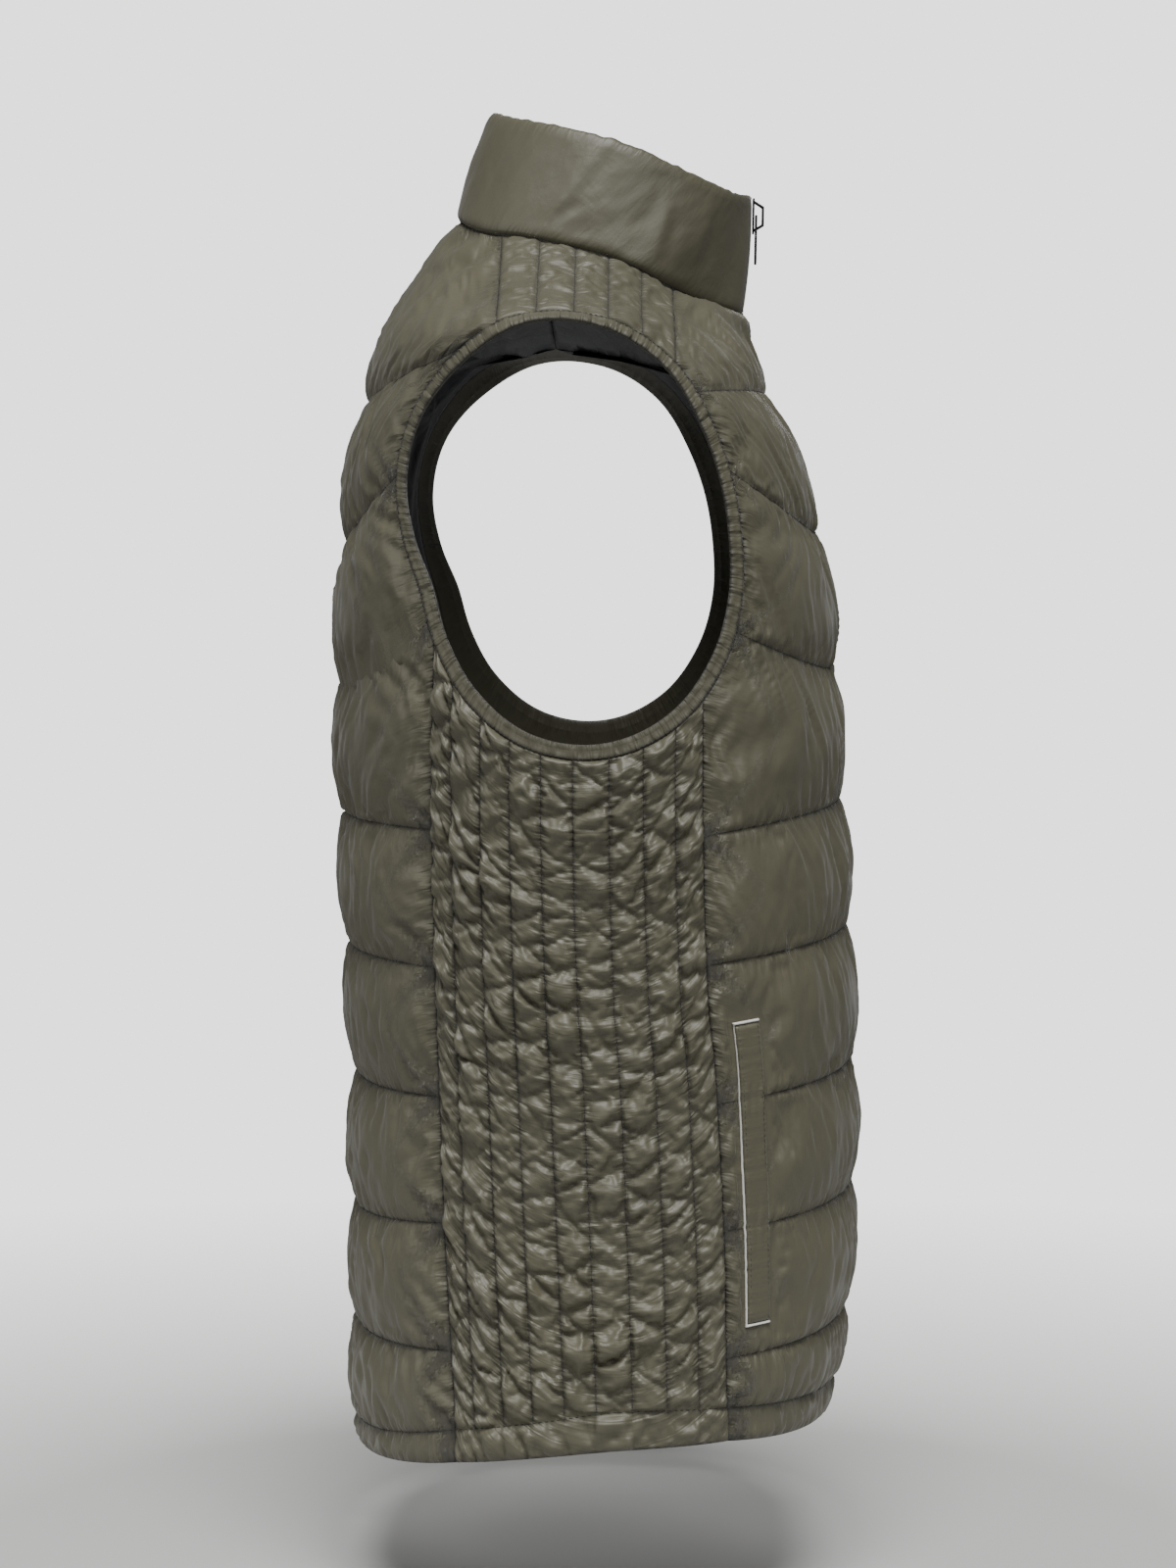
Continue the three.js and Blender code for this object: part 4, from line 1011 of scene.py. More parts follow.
# %% Border and facing
def facing_profile():
    """Distance from the edge and height over the inside of the vest, round the strip's cut."""
    roll = np.linspace(-90, 90, 7)[1:-1] * DEG
    out = [9.0, 9.0, 8.0, 6.5, 5.0, 3.5, 2.2, *(1.1 - 1.1 * np.cos(roll)), 2.2]
    off = [0.1, 2.0, 2.35, 2.5, 2.45, 2.4, 2.25, *(0.2 - 1.5 * np.sin(roll)), -1.7]
    deep = np.linspace(5, 24, 7)
    return (np.concatenate([out, deep, [24.0], deep[::-1][:-1], [9.4]]),
            np.concatenate([off, -1.8 + 0 * deep, [-1.1], -1.1 + 0 * deep[1:], [-0.9]]))


profile_out, profile_off = facing_profile()
TOPSTITCH = 8.0  # the line of stitches, from the armhole's edge
STATIONS = 420
angles = np.arange(STATIONS) / STATIONS * 2 * np.pi
facing_rings = []
for away, height in zip(profile_out, profile_off):
    turn_here, _, z_here = hoop(max(away, 1e-6))(angles)
    facing_rings.append((turn_here, z_here, np.full(STATIONS, height), np.full(STATIONS, away)))
f_turn, f_z, f_off, f_out = (np.stack([ring[i] for ring in facing_rings]) for i in range(4))
edge_at = lengths(skin(f_turn[[0]], f_z[[0]]), 1)[0]


def facing(name, seed, mirror):
    x = edge_at[None, :] + 0 * f_out
    puckers = waves(x, f_out, 7.5, 0.15, 0.35, seed) * 0.3 + waves(x, f_out, 16, 0.0, 0.4, seed + 1) * 0.25
    # the strip meets itself at the first station, so the puckers die out there
    station = np.arange(STATIONS)
    blend = step_up(np.minimum(station, STATIONS - station)[None, :] / STATIONS, 0, 0.02)
    outside = np.exp(-((f_out - 4.5) / 4.2) ** 2) * (f_off > 0.3)
    turned_in = np.where(f_off < -0.5, 0.35, 0.0) * step_up(f_out, 4, 12)
    points = skin(f_turn, f_z, f_off + puckers * blend * (outside - turned_in * 0.5))
    if mirror:
        points = points * [-1, 1, 1]
    n, m = points.shape[:2]
    ring = np.pad(np.arange(n * m).reshape(n, m), ((0, 1), (0, 1)), mode="wrap")
    # gap is the distance to the topstitch line or the rolled edge; the shell paints shade into the colour where
    # it is small
    gap = np.minimum(abs(f_out - TOPSTITCH), abs(f_out)) + (f_off < 0) * 6
    piece = add_mesh(name, points, quads(ring).tolist(), {"along": x, "gap": gap})
    piece.data.materials.append(shell)
    return piece


armholes = {side: facing(f"armhole_facing_{side}", 81 + 6 * i, side == "left")
            for i, side in enumerate(("right", "left"))}
print("facings:", [len(a.data.polygons) for a in armholes.values()], "faces")

# %% [markdown]
# ## The lining
#
# Inside, a charcoal lining hangs from the neck and the armhole facings and is caught in the hem. It
# is cut a little wider than the shell, so it falls in long upright folds that grow towards the hem
# and die out along every seam. Folds only go inwards, because the shell is behind the cloth.

# %% Laying out the lining
LINING_OFF = {"edge": 2.3, "slack": 0.8, "thick": 0.7}
lining_edge = hoop(FACING + 0.35)
LINING_OUTER = [-16, -55, -105, -165, -225, -268, None, -380, -460, -540, -605, -650]
LINING_MIDDLE = [-30, -75, -133, -190, -235, -275, -310, -380, -460, -540, -614, -655]
BACK_LINING_LOW = -680


def lining_lay(is_front, rows_per_channel, columns):
    sign = 1 if is_front else -1
    mid = np.pi / 2 - sign * 0.003
    high, low = (float(solve(lambda a: lining_edge(a)[0] - mid, first * DEG, last * DEG))
                 for first, last in [(70, 120), (250, 300)])
    top_z, low_z = float(lining_edge(high)[2]), float(lining_edge(low)[2])
    angles = np.linspace(high, low, 400) if is_front else np.linspace(low - 2 * np.pi, high, 400)
    turns, _, heights = lining_edge(angles)
    order = np.argsort(heights)

    def edge(z):
        z = np.asarray(z, float)
        arm = np.interp(z, heights[order], turns[order])
        return np.where((z > top_z) | (z < low_z), mid, arm)

    outer = [low_z if z is None else z for z in LINING_OUTER]
    middle = [*LINING_MIDDLE[:-1], LINING_MIDDLE[-1] if is_front else BACK_LINING_LOW]
    lines = table(LINE, [(m, o, 2, 0) for m, o in zip(middle, outer)])
    top = float(neck_z(mid)) - 2.5
    corner_share = (top - top_z) / (top - outer[0])
    rows = []
    for k in range(len(outer)):
        n = rows_per_channel + (4 if k > 6 else 0)
        rows += [(k, j / n) for j in range(n)]
    rows[1:rows_per_channel] = [(0, s) for s in np.linspace(0, 1, rows_per_channel + 1)[1:-1]]
    nearest = 1 + int(np.argmin([abs(v - corner_share) for _, v in rows[1:rows_per_channel]]))
    rows[nearest] = (0, float(corner_share))
    u = np.linspace(0, 1, columns)
    turn, z = lay(lines, top, lambda z: turn_at_x(12.5, z) if is_front else np.pi + 0 * np.asarray(z),
                  edge, [*rows, (len(outer), 0.0)], u)
    return turn, np.minimum(z, neck_z(turn) - 2.5), u


print("lining net:", len(LINING_OUTER), "bands from neck to hem")

# %% Lining cloths
def lining_folds(turn, z, seed):
    """Depth of the hanging folds, and the place along and down the cloth, in millimetres."""
    points = skin(turn, z)
    along, down = lengths(points, 1), lengths(points, 0)
    upright = waves(along, down * 0.25, 46, 0.0, 0.25, seed)
    upright = upright + 0.5 * waves(along, down * 0.35, 22, 0.2, 0.4, seed + 1)
    level = waves(down, along * 0.4, 60, 0.3, 0.5, seed + 2)
    hang = step_up(down, 0, 60) * (1 - 0.9 * step_up(down, down.max() - 25, down.max()))
    grow = 0.5 + 0.8 * step_up(-z, 150, 620)
    side = step_up(np.minimum(along, along[:, -1:] - along), 0, 22)
    depth = np.maximum(0, upright * 1.9 + level * 1.1 + 1.6) * grow
    fine = 0.35 * waves(along, down, 14, 0.8, 0.8, seed + 3)
    return np.clip((depth + fine) * hang * side, 0, 9), along, down


def lining_sheet(name, turn, z, u, seed, mirror=False):
    deep, along, down = lining_folds(turn, z, seed)
    lift = LINING_OFF["edge"] + LINING_OFF["slack"] * np.clip((1 - u) / 0.12, 0, 1)[None, :] + deep
    near, far = skin(turn, z, -lift), skin(turn, z, -lift - LINING_OFF["thick"])
    if mirror:
        near, far = near * [-1, 1, 1], far * [-1, 1, 1]
    size = (float(lengths(near, 1)[:, -1].max()), float(lengths(near, 0)[-1].max()))
    down_step, along_step = near[1:, :-1] - near[:-1, :-1], near[:-1, 1:] - near[:-1, :-1]
    face = np.linalg.norm(np.cross(down_step, along_step), axis=-1).sum()
    return closed_wall(name, near, far, {"along": along, "gap": down.max() - down}), size, face


linings = {}
turn, z, u = lining_lay(True, 7, 52)
linings["lining_front_right"] = lining_sheet("lining_front_right", turn, z, u, 101)
linings["lining_front_left"] = lining_sheet("lining_front_left", turn, z, u, 111, mirror=True)
turn, z, u = both_halves(*lining_lay(False, 7, 46))
linings["lining_back"] = lining_sheet("lining_back", turn, z, u, 121)
for name, (piece, size, face) in linings.items():
    print(name, "about", [round(v) for v in size], "mm,", round(face / 1e6, 3), "m2")

# %% Charcoal lining cloth
NAVY_CHARCOAL, PALE_CHARCOAL = (0.021, 0.022, 0.033, 1), (0.038, 0.039, 0.05, 1)


def lining_cloth():
    f = Finish("charcoal_lining", Sheen_Weight=0.25, Sheen_Roughness=0.3, Specular_IOR_Level=0.5)
    place = f.place()
    soft = f.noise(place, 55, 3.0, 0.5, 0.6)
    grain = f.noise(place, 1600, 1.0)
    tint = f.noise(place, 7, 1.0)
    f.set("Base Color", f.mix((tint * 1.4 - 0.2).clamped(), NAVY_CHARCOAL, PALE_CHARCOAL))
    f.set("Roughness", (soft * 0.16 + 0.36).clamped())
    f.set("Normal", f.bump(soft * 1.0 + grain * 0.04, 0.0016))
    return f.material


charcoal = lining_cloth()
for piece, _, _ in linings.values():
    piece.data.materials.append(charcoal)
print("lining cloth on", len(linings), "sheets")

# %% [markdown]
# ## The zip
#
# The zip has two woven tapes behind the front edges, two rows of moulded teeth that lock between
# each other, a slider with a bridge, a pull that hangs from it, and a box at its foot. The tapes
# reach in under the teeth, so no light comes through beside them. The teeth are one small block
# repeated a few hundred times along the tape, so Geometry Nodes set them.

# %% Places along the zip
zip_heights = np.concatenate([np.linspace(-664, -6, 150), [-1.5]])
zip_ups = np.linspace(0.0, 0.99, 24)
BLACK, DULL_BLACK = (0.006, 0.006, 0.006, 1), (0.016, 0.016, 0.017, 1)


def zip_line(x, away, heights=zip_heights, ups=zip_ups):
    """Points along the zip at x across and away off the cloth, from the hem to the collar's top."""
    sign = -1 if x > 0 else 1
    low = skin(sign * turn_at_x(abs(x), heights), heights, away)
    turn = collar_turn_at_x(abs(x), ups) * sign
    return np.concatenate([low, collar_point(turn, ups, away)])


def smooth_line(points, step):
    """The same line with points at equal distances, rounded a little."""
    for _ in range(3):
        points[1:-1] = (points[:-2] + 2 * points[1:-1] + points[2:]) / 4
    at = np.concatenate([[0], np.cumsum(np.linalg.norm(np.diff(points, axis=0), axis=1))])
    new = np.linspace(0, at[-1], int(at[-1] / step) + 1)
    return np.stack([np.interp(new, at, points[:, i]) for i in range(3)], -1)


chain_middle = smooth_line(zip_line(0.0, 0.6), 1.0)
print("zip:", round(float(np.linalg.norm(np.diff(chain_middle, axis=0), axis=1).sum())), "mm long")

# %% Tapes
TAPE = (1.1, 11)  # from the middle of the zip outwards, in millimetres


def tape(side):
    sign = -1 if side == "right" else 1
    xs = np.linspace(*TAPE, 9)
    wavy = 0.06 * waves(np.arange(len(zip_heights) + len(zip_ups)) * 4.5, 0, 40, seed=131)
    top, under = (np.stack([zip_line(sign * x, away) for x in xs], 1) + [0, 1, 0] * wavy[:, None, None]
                  for away in (-1.1, -1.7))
    values = {"along": lengths(top, 0), "gap": np.tile(xs, (len(top), 1))}
    return closed_wall(f"zip_tape_{side}", top, under, values)


tapes = {side: tape(side) for side in ("right", "left")}
woven = Finish("zip_tape", Specular_IOR_Level=0.3, Sheen_Weight=0.2)
rib = woven.node("ShaderNodeTexWave", {"bands_direction": "DIAGONAL"}, {
    "Vector": woven.vector(woven.value("along"), woven.value("gap")), "Scale": 0.9, "Distortion": 0.6})
woven.set("Base Color", woven.mix(rib, BLACK, DULL_BLACK))
woven.set("Roughness", rib * 0.15 + 0.6)
woven.set("Normal", woven.bump(rib, 0.00025, 0.8))
for piece in tapes.values():
    piece.data.materials.append(woven.material)
print("tapes:", [len(t.data.polygons) for t in tapes.values()], "faces")

# %% [markdown]
# ## What repeats: teeth and stitches
#
# Both follow a line and repeat a small shape, so each is a short Geometry Nodes tree: the line is
# cut into equal steps, a shape is set at each step, and the result is made one plain mesh. The
# numbers that a maker would change are inputs of the tree, and anything random has a fixed seed.

# %% Growing a tree's result
def tree_with(name, inputs):
    tree = bpy.data.node_groups.new(name, "GeometryNodeTree")
    for title, kind in [("Geometry", "NodeSocketGeometry"), *inputs]:
        tree.interface.new_socket(title, in_out="INPUT", socket_type=kind)
    tree.interface.new_socket("Geometry", in_out="OUTPUT", socket_type="NodeSocketGeometry")
    nodes = Nodes(tree)
    start = tree.nodes.new("NodeGroupInput")
    end = tree.nodes.new("NodeGroupOutput")
    given = {title: Wire(nodes, start.outputs[title]) for title in ["Geometry", *[t for t, _ in inputs]]}
    return nodes, given, lambda wire: tree.links.new(wire.socket, end.inputs["Geometry"])


def grow(name, lines, nodes, values):
    """Runs a tree on lines, given in millimetres, and returns its result as a plain mesh piece."""
    points, edges = [], []
    for line in lines:
        first = len(points)
        points += (np.asarray(line) / 1000).tolist()
        edges += [(first + i, first + i + 1) for i in range(len(line) - 1)]
    mesh = bpy.data.meshes.new(name)
    mesh.from_pydata(points, edges, [])
    carrier = bpy.data.objects.new(name + "_lines", mesh)
    bpy.context.scene.collection.objects.link(carrier)
    modifier = carrier.modifiers.new("grow", "NODES")
    modifier.node_group = nodes.tree
    for item in nodes.tree.interface.items_tree:
        if item.in_out == "INPUT" and item.name in values:
            modifier[item.identifier] = values[item.name]
    graph = bpy.context.evaluated_depsgraph_get()
    made = bpy.data.meshes.new_from_object(carrier.evaluated_get(graph), depsgraph=graph)
    made.name = name
    bpy.data.objects.remove(carrier)
    piece = bpy.data.objects.new(name, made)
    bpy.context.scene.collection.objects.link(piece)
    made.shade_smooth()
    return piece


# %% Teeth of the zip
moulded = Finish("moulded_teeth", Specular_IOR_Level=0.45)
speck = moulded.noise(moulded.place(), 700, 2.0)
moulded.set("Base Color", moulded.mix(speck, (0.006, 0.006, 0.006, 1), (0.014, 0.014, 0.014, 1)))
moulded.set("Roughness", speck * 0.2 + 0.3)
moulded.set("Normal", moulded.bump(speck, 0.00005, 0.6))

nodes, given, result = tree_with("zip_teeth", [
    ("Pitch", "NodeSocketFloat"), ("Width", "NodeSocketFloat"), ("Height", "NodeSocketFloat"),
    ("Offset", "NodeSocketFloat"), ("Material", "NodeSocketMaterial")])
line = nodes.node("GeometryNodeMeshToCurve", values={"Mesh": given["Geometry"]})
steps = nodes.node("GeometryNodeResampleCurve", {"mode": "LENGTH"}, {
    "Curve": line, "Length": given["Pitch"]})
turned = nodes.node("FunctionNodeAlignRotationToVector", {"axis": "Y", "pivot_axis": "X"},
                    {"Vector": nodes.node("GeometryNodeInputTangent")})
left_right = nodes.node("GeometryNodeInputIndex").math("MODULO", 2) * 2 - 1
aside = nodes.node("ShaderNodeCombineXYZ", values={"X": left_right * given["Offset"]})
moved = nodes.node("GeometryNodeSetPosition", values={"Geometry": steps, "Offset": aside})
size = nodes.node("ShaderNodeCombineXYZ", values={
    "X": given["Width"], "Y": given["Pitch"] * 0.72, "Z": given["Height"]})
tooth = nodes.node("GeometryNodeMeshCube", values={"Size": size})
set_on = nodes.node("GeometryNodeInstanceOnPoints", values={
    "Points": moved, "Instance": tooth, "Rotation": turned})
whole = nodes.node("GeometryNodeRealizeInstances", values={"Geometry": set_on})
result(nodes.node("GeometryNodeSetMaterial", values={"Geometry": whole, "Material": given["Material"]}))
teeth = grow("zip_teeth", [chain_middle], nodes, {
    "Pitch": 0.0016, "Width": 0.0036, "Height": 0.0031, "Offset": 0.0011, "Material": moulded.material})
for polygon in teeth.data.polygons:
    polygon.use_smooth = False
print("teeth:", len(teeth.data.polygons) // 6)

# %% [markdown]
# The slider, its pull and the box are small hard pieces, and their plain solids already have the
# right shape. Only their edges are too sharp to catch light, so a merged copy gets small bevels.

# %% Slider, pull and box
def softened(node, width):
    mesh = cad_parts[node].data.copy()
    bm = bmesh.new()
    bm.from_mesh(mesh)
    bmesh.ops.remove_doubles(bm, verts=bm.verts, dist=1e-6)
    bmesh.ops.dissolve_limit(bm, angle_limit=0.02, verts=bm.verts, edges=bm.edges)
    sharp = [e for e in bm.edges if len(e.link_faces) == 2 and e.calc_face_angle(0) > 0.4]
    bmesh.ops.bevel(bm, geom=sharp, offset=width, segments=2, profile=0.6, affect="EDGES",
                    clamp_overlap=True)
    bm.to_mesh(mesh)
    bm.free()
    mesh.materials.clear()
    mesh.shade_smooth()
    piece = bpy.data.objects.new(node + "_soft_edged", mesh)
    bpy.context.scene.collection.objects.link(piece)
    return piece


metal = Finish("dark_metal", Metallic=0.9, Specular_IOR_Level=0.5)
scuff = metal.noise(metal.place(), 260, 5.0, 0.7)
metal.set("Base Color", metal.node("ShaderNodeValToRGB", {
    "stops": [(0.35, (0.012, 0.012, 0.013, 1)), (0.75, (0.05, 0.05, 0.052, 1))]}, {"Fac": scuff}))
metal.set("Roughness", scuff * 0.3 + 0.22)
metal.set("Normal", metal.bump(scuff, 0.00006, 0.5))
hardware = {node: softened(node, width) for node, width in
            [("zip_slider", 0.00022), ("zip_pull", 0.00025), ("zip_box", 0.0004)]}
for node, piece in hardware.items():
    piece.data.materials.append(moulded.material if node == "zip_box" else metal.material)
print({node: len(piece.data.polygons) for node, piece in hardware.items()})

# %% [markdown]
# ## The pocket
#
# A welt is a folded strip that covers the slit of an upright pocket. It lies on the front where the
# padding is sewn flat, and a white piping peeps out along its rear edge and its two ends. Both are
# laid on the front's finished surface, so they follow it.

# %% Laying things on a front
# "from", "to" and "piping" are shares of the front's width; "top" and "low" count its channels
POCKET = {"from": 0.84, "to": 0.925, "piping": 0.9335, "top": 5.464, "low": 7.755}
WELT = (17, 196)  # width and height, in millimetres
WELT_STITCH = 0.11  # its stitch lines, as a share of its width from each edge


def lifted(points, inner, lift):
    away = points - inner
    return points + away / np.maximum(np.linalg.norm(away, axis=-1, keepdims=True), 1e-6) * lift


def on_front(side, where, u, lift):
    """A point on a front's finished surface, by channel and share of its width."""
    p = pieces[f"front_{side}"]
    where, u, lift = np.broadcast_arrays(*(np.asarray(v, float) for v in (where, u, lift)))
    row, column = np.interp(where, channel, np.arange(len(channel))), u * (len(front_u) - 1)

    def read(net, step):
        i = np.clip((row * step).astype(int), 0, len(net) - 2)
        j = np.clip((column * step).astype(int), 0, net.shape[1] - 2)
        s, t = (row * step - i)[..., None], (column * step - j)[..., None]
        return ((net[i, j] * (1 - s) + net[i + 1, j] * s) * (1 - t)
                + (net[i, j + 1] * (1 - s) + net[i + 1, j + 1] * s) * t)

    point = read(p["fine_outer"], 2)
    return lifted(point, read(p["inner"], 1), lift[..., None])


def welt(side, seed):
    where = np.linspace(POCKET["top"], POCKET["low"], 90)[:, None]
    v = np.linspace(0, 1, 15)[None, :]
    u = POCKET["from"] + (POCKET["to"] - POCKET["from"]) * v + 0 * where
    along = np.linspace(0, WELT[1], 90)[:, None] + 0 * v
    across, from_edge = v * WELT[0], np.minimum(v, 1 - v)
    rounded = thick_profile(v, 0.12) * thick_profile(np.linspace(0, 1, 90)[:, None], 0.015)
    puckers = 0.07 * waves(along, across, 9, 0.0, 0.4, seed) * np.exp(-((from_edge - 0.09) / 0.1) ** 2)
    sag = 0.075 * waves(along, across, 60, 0.2, 0.4, seed + 1)
    groove = -0.28 * np.exp(-((from_edge - WELT_STITCH) / 0.03) ** 2)
    top = on_front(side, where + 0 * v, u, 0.6 + 1.25 * rounded + puckers + groove + sag)
    low = on_front(side, where + 0 * v, u, 0.35)
    gap = abs(from_edge - WELT_STITCH) * WELT[0] + 9 + 0 * along
    piece = closed_wall(f"pocket_welt_{side}", top, low, {"along": along, "gap": gap})
    piece.data.materials.append(shell)
    return piece


def piping(side, seed):
    """Runs along the welt's top, its rear edge and its bottom, and widens down the rear edge."""
    start, top, low, far = (POCKET[k] for k in ("from", "top", "low", "piping"))
    near, n = POCKET["to"] + 0.0025, 70
    width = 0.45 + 0.55 * step_up(np.linspace(0, 1, n), 0.1, 0.5)
    inner = np.array([
        *[(top - 0.006, u) for u in np.linspace(start, near, 12)],
        *[(w, near) for w in np.linspace(top, low, n)],
        *[(low + 0.006, u) for u in np.linspace(near, start, 12)]])
    outer = np.array([
        *[(top - 0.026, u) for u in np.linspace(start, far, 12)],
        *[(w, near + (far - near) * g) for w, g in zip(np.linspace(top - 0.02, low + 0.02, n), width)],
        *[(low + 0.026, u) for u in np.linspace(far, start, 12)]])
    v = np.linspace(0, 1, 7)
    places = inner[:, None] * (1 - v[None, :, None]) + outer[:, None] * v[None, :, None]
    where, u = places[..., 0], places[..., 1]
    bulge = thick_profile(v, 0.5)[None, :]
    lift = 0.45 + bulge + 0.1 * waves(np.arange(len(inner)) * 2.5, 0, 9, seed=seed)[:, None]
    return closed_wall(f"pocket_piping_{side}", on_front(side, where, u, lift), on_front(side, where, u, 0.35))


trim = Finish("white_piping", Specular_IOR_Level=0.4, Sheen_Weight=0.2)
weave = trim.noise(trim.place(), 900, 2.0)
soil = trim.noise(trim.place(), 30, 3.0)
trim.set("Base Color", trim.mix(soil, (0.8, 0.79, 0.75, 1), (0.68, 0.67, 0.62, 1)))
trim.set("Roughness", weave * 0.2 + 0.5)
trim.set("Normal", trim.bump(weave, 0.0001, 0.6))
welts = {side: welt(side, 141 + 4 * i) for i, side in enumerate(("right", "left"))}
pipings = {side: piping(side, 151 + 4 * i) for i, side in enumerate(("right", "left"))}
for piece in pipings.values():
    piece.data.materials.append(trim.material)
print("pockets:", len(welts), "welts,", len(pipings), "pipings")

# %% [markdown]
# ## Stitches
#
# Every stitched line is the thread that one sees: short dark dashes that sink into the cloth. The
# lines are taken from the finished panels, so the stitches lie at the bottom of each seam.

# %% Stitch lines
def stitch_lines(lift=0.12):
    lines = []
    for name, p in pieces.items():
        fine = p["fine_outer"]
        plain = np.repeat(np.repeat(p["inner"], 2, 0), 2, 1)[:fine.shape[0], :fine.shape[1]]
        raised = lifted(fine, plain, lift)
        if name.startswith(("front", "back")):
            lines += [raised[r] for r in np.nonzero(p["fine_rows"])[0][1:-1]]
        else:
            end = -1 if name.startswith("shoulder") else 2 * (len(p["outer"]) - 1 - BAND_ROWS) + 1
            lines += [raised[:end, c] for c in np.nonzero(p["fine_columns"])[0][1:-1]]
            if name.startswith("side"):
                lines.append(raised[end - 1])
    return lines


def border_lines():
    """Topstitching round both armholes and down both edges of each welt."""
    turn_b, _, z_b = hoop(TOPSTITCH)(np.linspace(0, 2 * np.pi, 400))
    ring = skin(turn_b, z_b, 2.55)
    lines = [ring, ring * [-1, 1, 1]]
    for side in ("right", "left"):
        where = np.linspace(POCKET["top"] + 0.03, POCKET["low"] - 0.03, 90)
        for share in (WELT_STITCH, 1 - WELT_STITCH):
            u = POCKET["from"] + (POCKET["to"] - POCKET["from"]) * share
            lines.append(on_front(side, where, u, 1.62))
    return lines


nodes, given, result = tree_with("stitches", [
    ("Spacing", "NodeSocketFloat"), ("Length", "NodeSocketFloat"), ("Thickness", "NodeSocketFloat"),
    ("Seed", "NodeSocketInt"), ("Material", "NodeSocketMaterial")])
line = nodes.node("GeometryNodeMeshToCurve", values={"Mesh": given["Geometry"]})
steps = nodes.node("GeometryNodeResampleCurve", {"mode": "LENGTH"}, {
    "Curve": line, "Length": given["Spacing"]})
turned = nodes.node("FunctionNodeAlignRotationToVector", {"axis": "Z"},
                    {"Vector": nodes.node("GeometryNodeInputTangent")})
wobble = nodes.node("FunctionNodeRandomValue", {"data_type": "FLOAT_VECTOR"}, {
    "Min": (-0.16, -0.16, 0), "Max": (0.16, 0.16, 0), "Seed": given["Seed"]})
wobbled = nodes.node("FunctionNodeRotateRotation", {"rotation_space": "LOCAL"}, {
    "Rotation": turned, "Rotate By": nodes.node("FunctionNodeEulerToRotation", values={"Euler": wobble})})
bead = nodes.node("GeometryNodeMeshUVSphere", values={"Segments": 5, "Rings": 3, "Radius": 1.0})
shape = nodes.node("ShaderNodeCombineXYZ", values={
    "X": given["Thickness"], "Y": given["Thickness"], "Z": given["Length"] * 0.5})
set_on = nodes.node("GeometryNodeInstanceOnPoints", values={
    "Points": steps, "Instance": bead, "Rotation": wobbled, "Scale": shape})
whole = nodes.node("GeometryNodeRealizeInstances", values={"Geometry": set_on})
result(nodes.node("GeometryNodeSetMaterial", values={"Geometry": whole, "Material": given["Material"]}))

thread = Finish("dark_thread", Specular_IOR_Level=0.3, Sheen_Weight=0.15)
ply = thread.noise(thread.place(), 2600, 1.0)
thread.set("Base Color", thread.mix(ply, (0.022, 0.021, 0.016, 1), (0.05, 0.047, 0.036, 1)))
thread.set("Roughness", ply * 0.2 + 0.6)
thread.set("Normal", thread.bump(ply, 0.00008, 0.7))
quilting = grow("quilting_stitches", stitch_lines(), nodes, {
    "Spacing": 0.0036, "Length": 0.0026, "Thickness": 0.00034, "Seed": 5, "Material": thread.material})
topstitches = grow("top_stitches", border_lines(), nodes, {
    "Spacing": 0.0032, "Length": 0.0023, "Thickness": 0.00026, "Seed": 8, "Material": thread.material})
BEAD_FACES = 15
print("stitches:", len(quilting.data.polygons) // BEAD_FACES, "in the quilting,",
      len(topstitches.data.polygons) // BEAD_FACES, "more")

# %% [markdown]
# ## Camera, floor and light
#
# The camera stands 2.5 m away at the wearer's right, level with the armhole, and looks across the
# vest and a little down. Most of the light falls softly from above. Three soft panels open the shadows at
# the near side, the back and the far side. The surround is dim and only looks pale to the camera,
# and the floor fades out before its rim.

# %% Studio
def camera_at(place, forward, lens):
    data = bpy.data.cameras.new("camera")
    data.lens, data.sensor_width, data.sensor_height, data.sensor_fit = lens, 36, 36, "AUTO"
    camera = bpy.data.objects.new("camera", data)
    forward = Vector(forward).normalized()
    camera.matrix_world = Matrix.Translation(place) @ forward.to_track_quat("-Z", "Y").to_matrix().to_4x4()
    bpy.context.scene.collection.objects.link(camera)
    bpy.context.scene.camera = camera
    return camera


def soft_panel(name, place, target, size, power):
    data = bpy.data.lights.new(name, "AREA")
    data.shape, data.size, data.size_y, data.energy = "RECTANGLE", size[0], size[1], power
    light = bpy.data.objects.new(name, data)
    way = Vector(target) - Vector(place)
    light.matrix_world = Matrix.Translation(place) @ way.to_track_quat("-Z", "Y").to_matrix().to_4x4()
    bpy.context.scene.collection.objects.link(light)
    return light


FOCAL = 4055  # in the photo's pixels; the camera is turned aside by 27 of them and down by 192
camera = camera_at((-2.5, -0.02, -0.175), (1, 27 / FOCAL, -192 / FOCAL), 91.2)
middle = (0, 0, -0.3)
soft_panel("panel_side", (-2.0, -1.2, 1.0), (0, 0, -0.15), (1.2, 1.4), 17)
soft_panel("panel_back", (-1.0, 2.1, 0.5), middle, (1.0, 2.0), 13)
soft_panel("panel_far", (2.3, -0.3, 0.8), middle, (1.2, 1.2), 11)
data = bpy.data.lights.new("sky_panel", "SUN")
data.energy, data.angle = 3.5, 28 * DEG
sky = bpy.data.objects.new("sky_panel", data)
sky.matrix_world = Vector((0.42, 0.02, -0.9)).to_track_quat("-Z", "Y").to_matrix().to_4x4()
bpy.context.scene.collection.objects.link(sky)
world = bpy.data.worlds.new("surround")
world.use_nodes = True
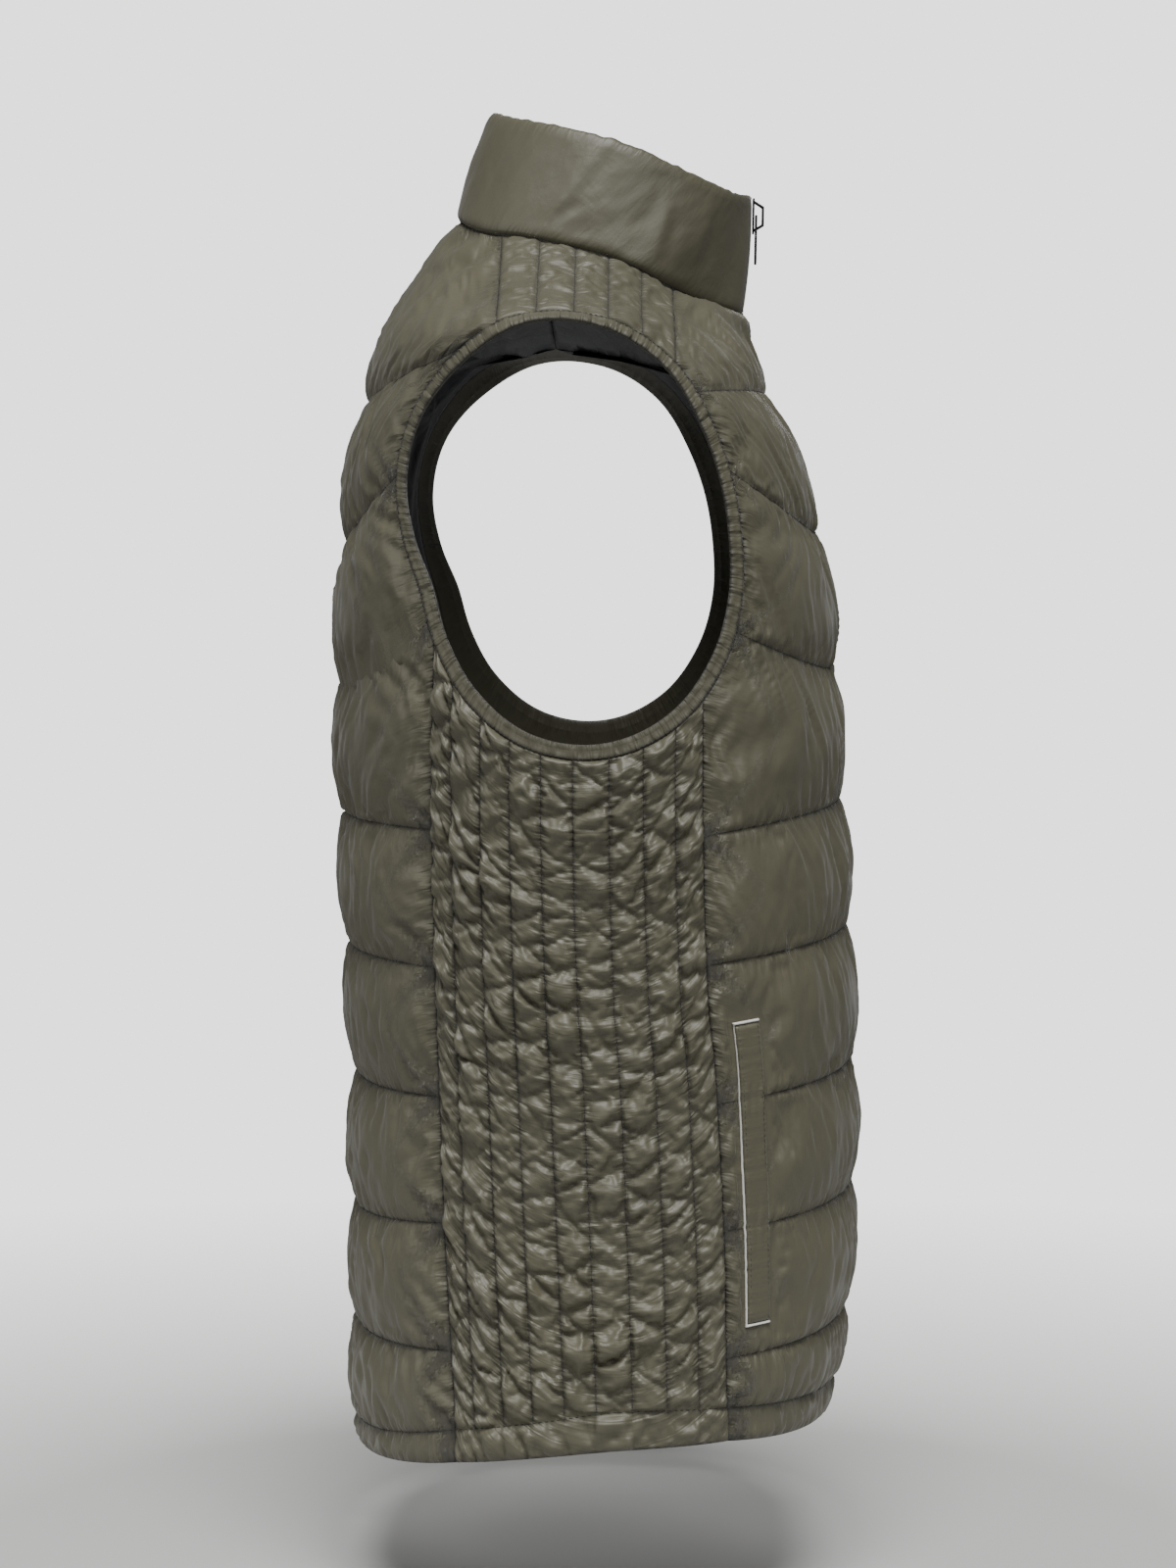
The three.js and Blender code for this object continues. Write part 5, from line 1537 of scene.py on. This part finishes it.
surround = Nodes(world.node_tree)
backdrop = surround.node("ShaderNodeLightPath") * 2.0 + 0.15
background = world.node_tree.nodes["Background"]
background.inputs["Color"].default_value = (1, 1, 1, 1)
world.node_tree.links.new(backdrop.socket, background.inputs["Strength"])
bpy.context.scene.world = world

FLOOR_RADIUS = 1.5
bpy.ops.mesh.primitive_circle_add(vertices=128, radius=FLOOR_RADIUS, fill_type="NGON",
                                  location=(0, 0, -0.78))
floor = bpy.context.object
floor.name = "floor"
paper = Finish("pale_paper", Roughness=0.8)
blotch = paper.noise(paper.place(), 3, 4.0)
paper.set("Base Color", paper.mix(blotch, (0.5, 0.5, 0.49, 1), (0.54, 0.54, 0.53, 1)))
centre = paper.node("ShaderNodeVectorMath", {"operation": "LENGTH"}, {0: paper.place()}, out="Value")
paper.set("Alpha", ((FLOOR_RADIUS - centre) * 0.9).clamped())
floor.data.materials.append(paper.material)
print("camera at", [round(v, 3) for v in camera.location])

# %% [markdown]
# ## Handing the pieces over
#
# Each piece rides on a body of the frame and takes the place of its plain solid.

# %% Riding, replacing
for name, wall in walls.items():
    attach(wall, "vest")
    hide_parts(name)
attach(collar, "vest")
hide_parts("collar")
for side, piece in armholes.items():
    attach(piece, "vest")
    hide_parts(f"armhole_facing_{side}")
for name, (piece, size, face) in linings.items():
    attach(piece, "vest")
    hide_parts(name)
    size[0] / 1000
    size[1] / 1000
for side, piece in tapes.items():
    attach(piece, "vest")
    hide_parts(f"zip_tape_{side}")
for node, piece in [("zip_chain", teeth), *hardware.items()]:
    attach(piece, "pull" if node == "zip_pull" else "vest")
    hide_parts(node)
    "zip_teeth" if node in ("zip_chain", "zip_box") else "zip_metal"
for side in ("right", "left"):
    for node, piece, slot in [("pocket_welt", welts[side], "shell"),
                              ("pocket_piping", pipings[side], "piping")]:
        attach(piece, "vest")
        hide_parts(f"{node}_{side}")
for piece in (quilting, topstitches):
    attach(piece, "vest")
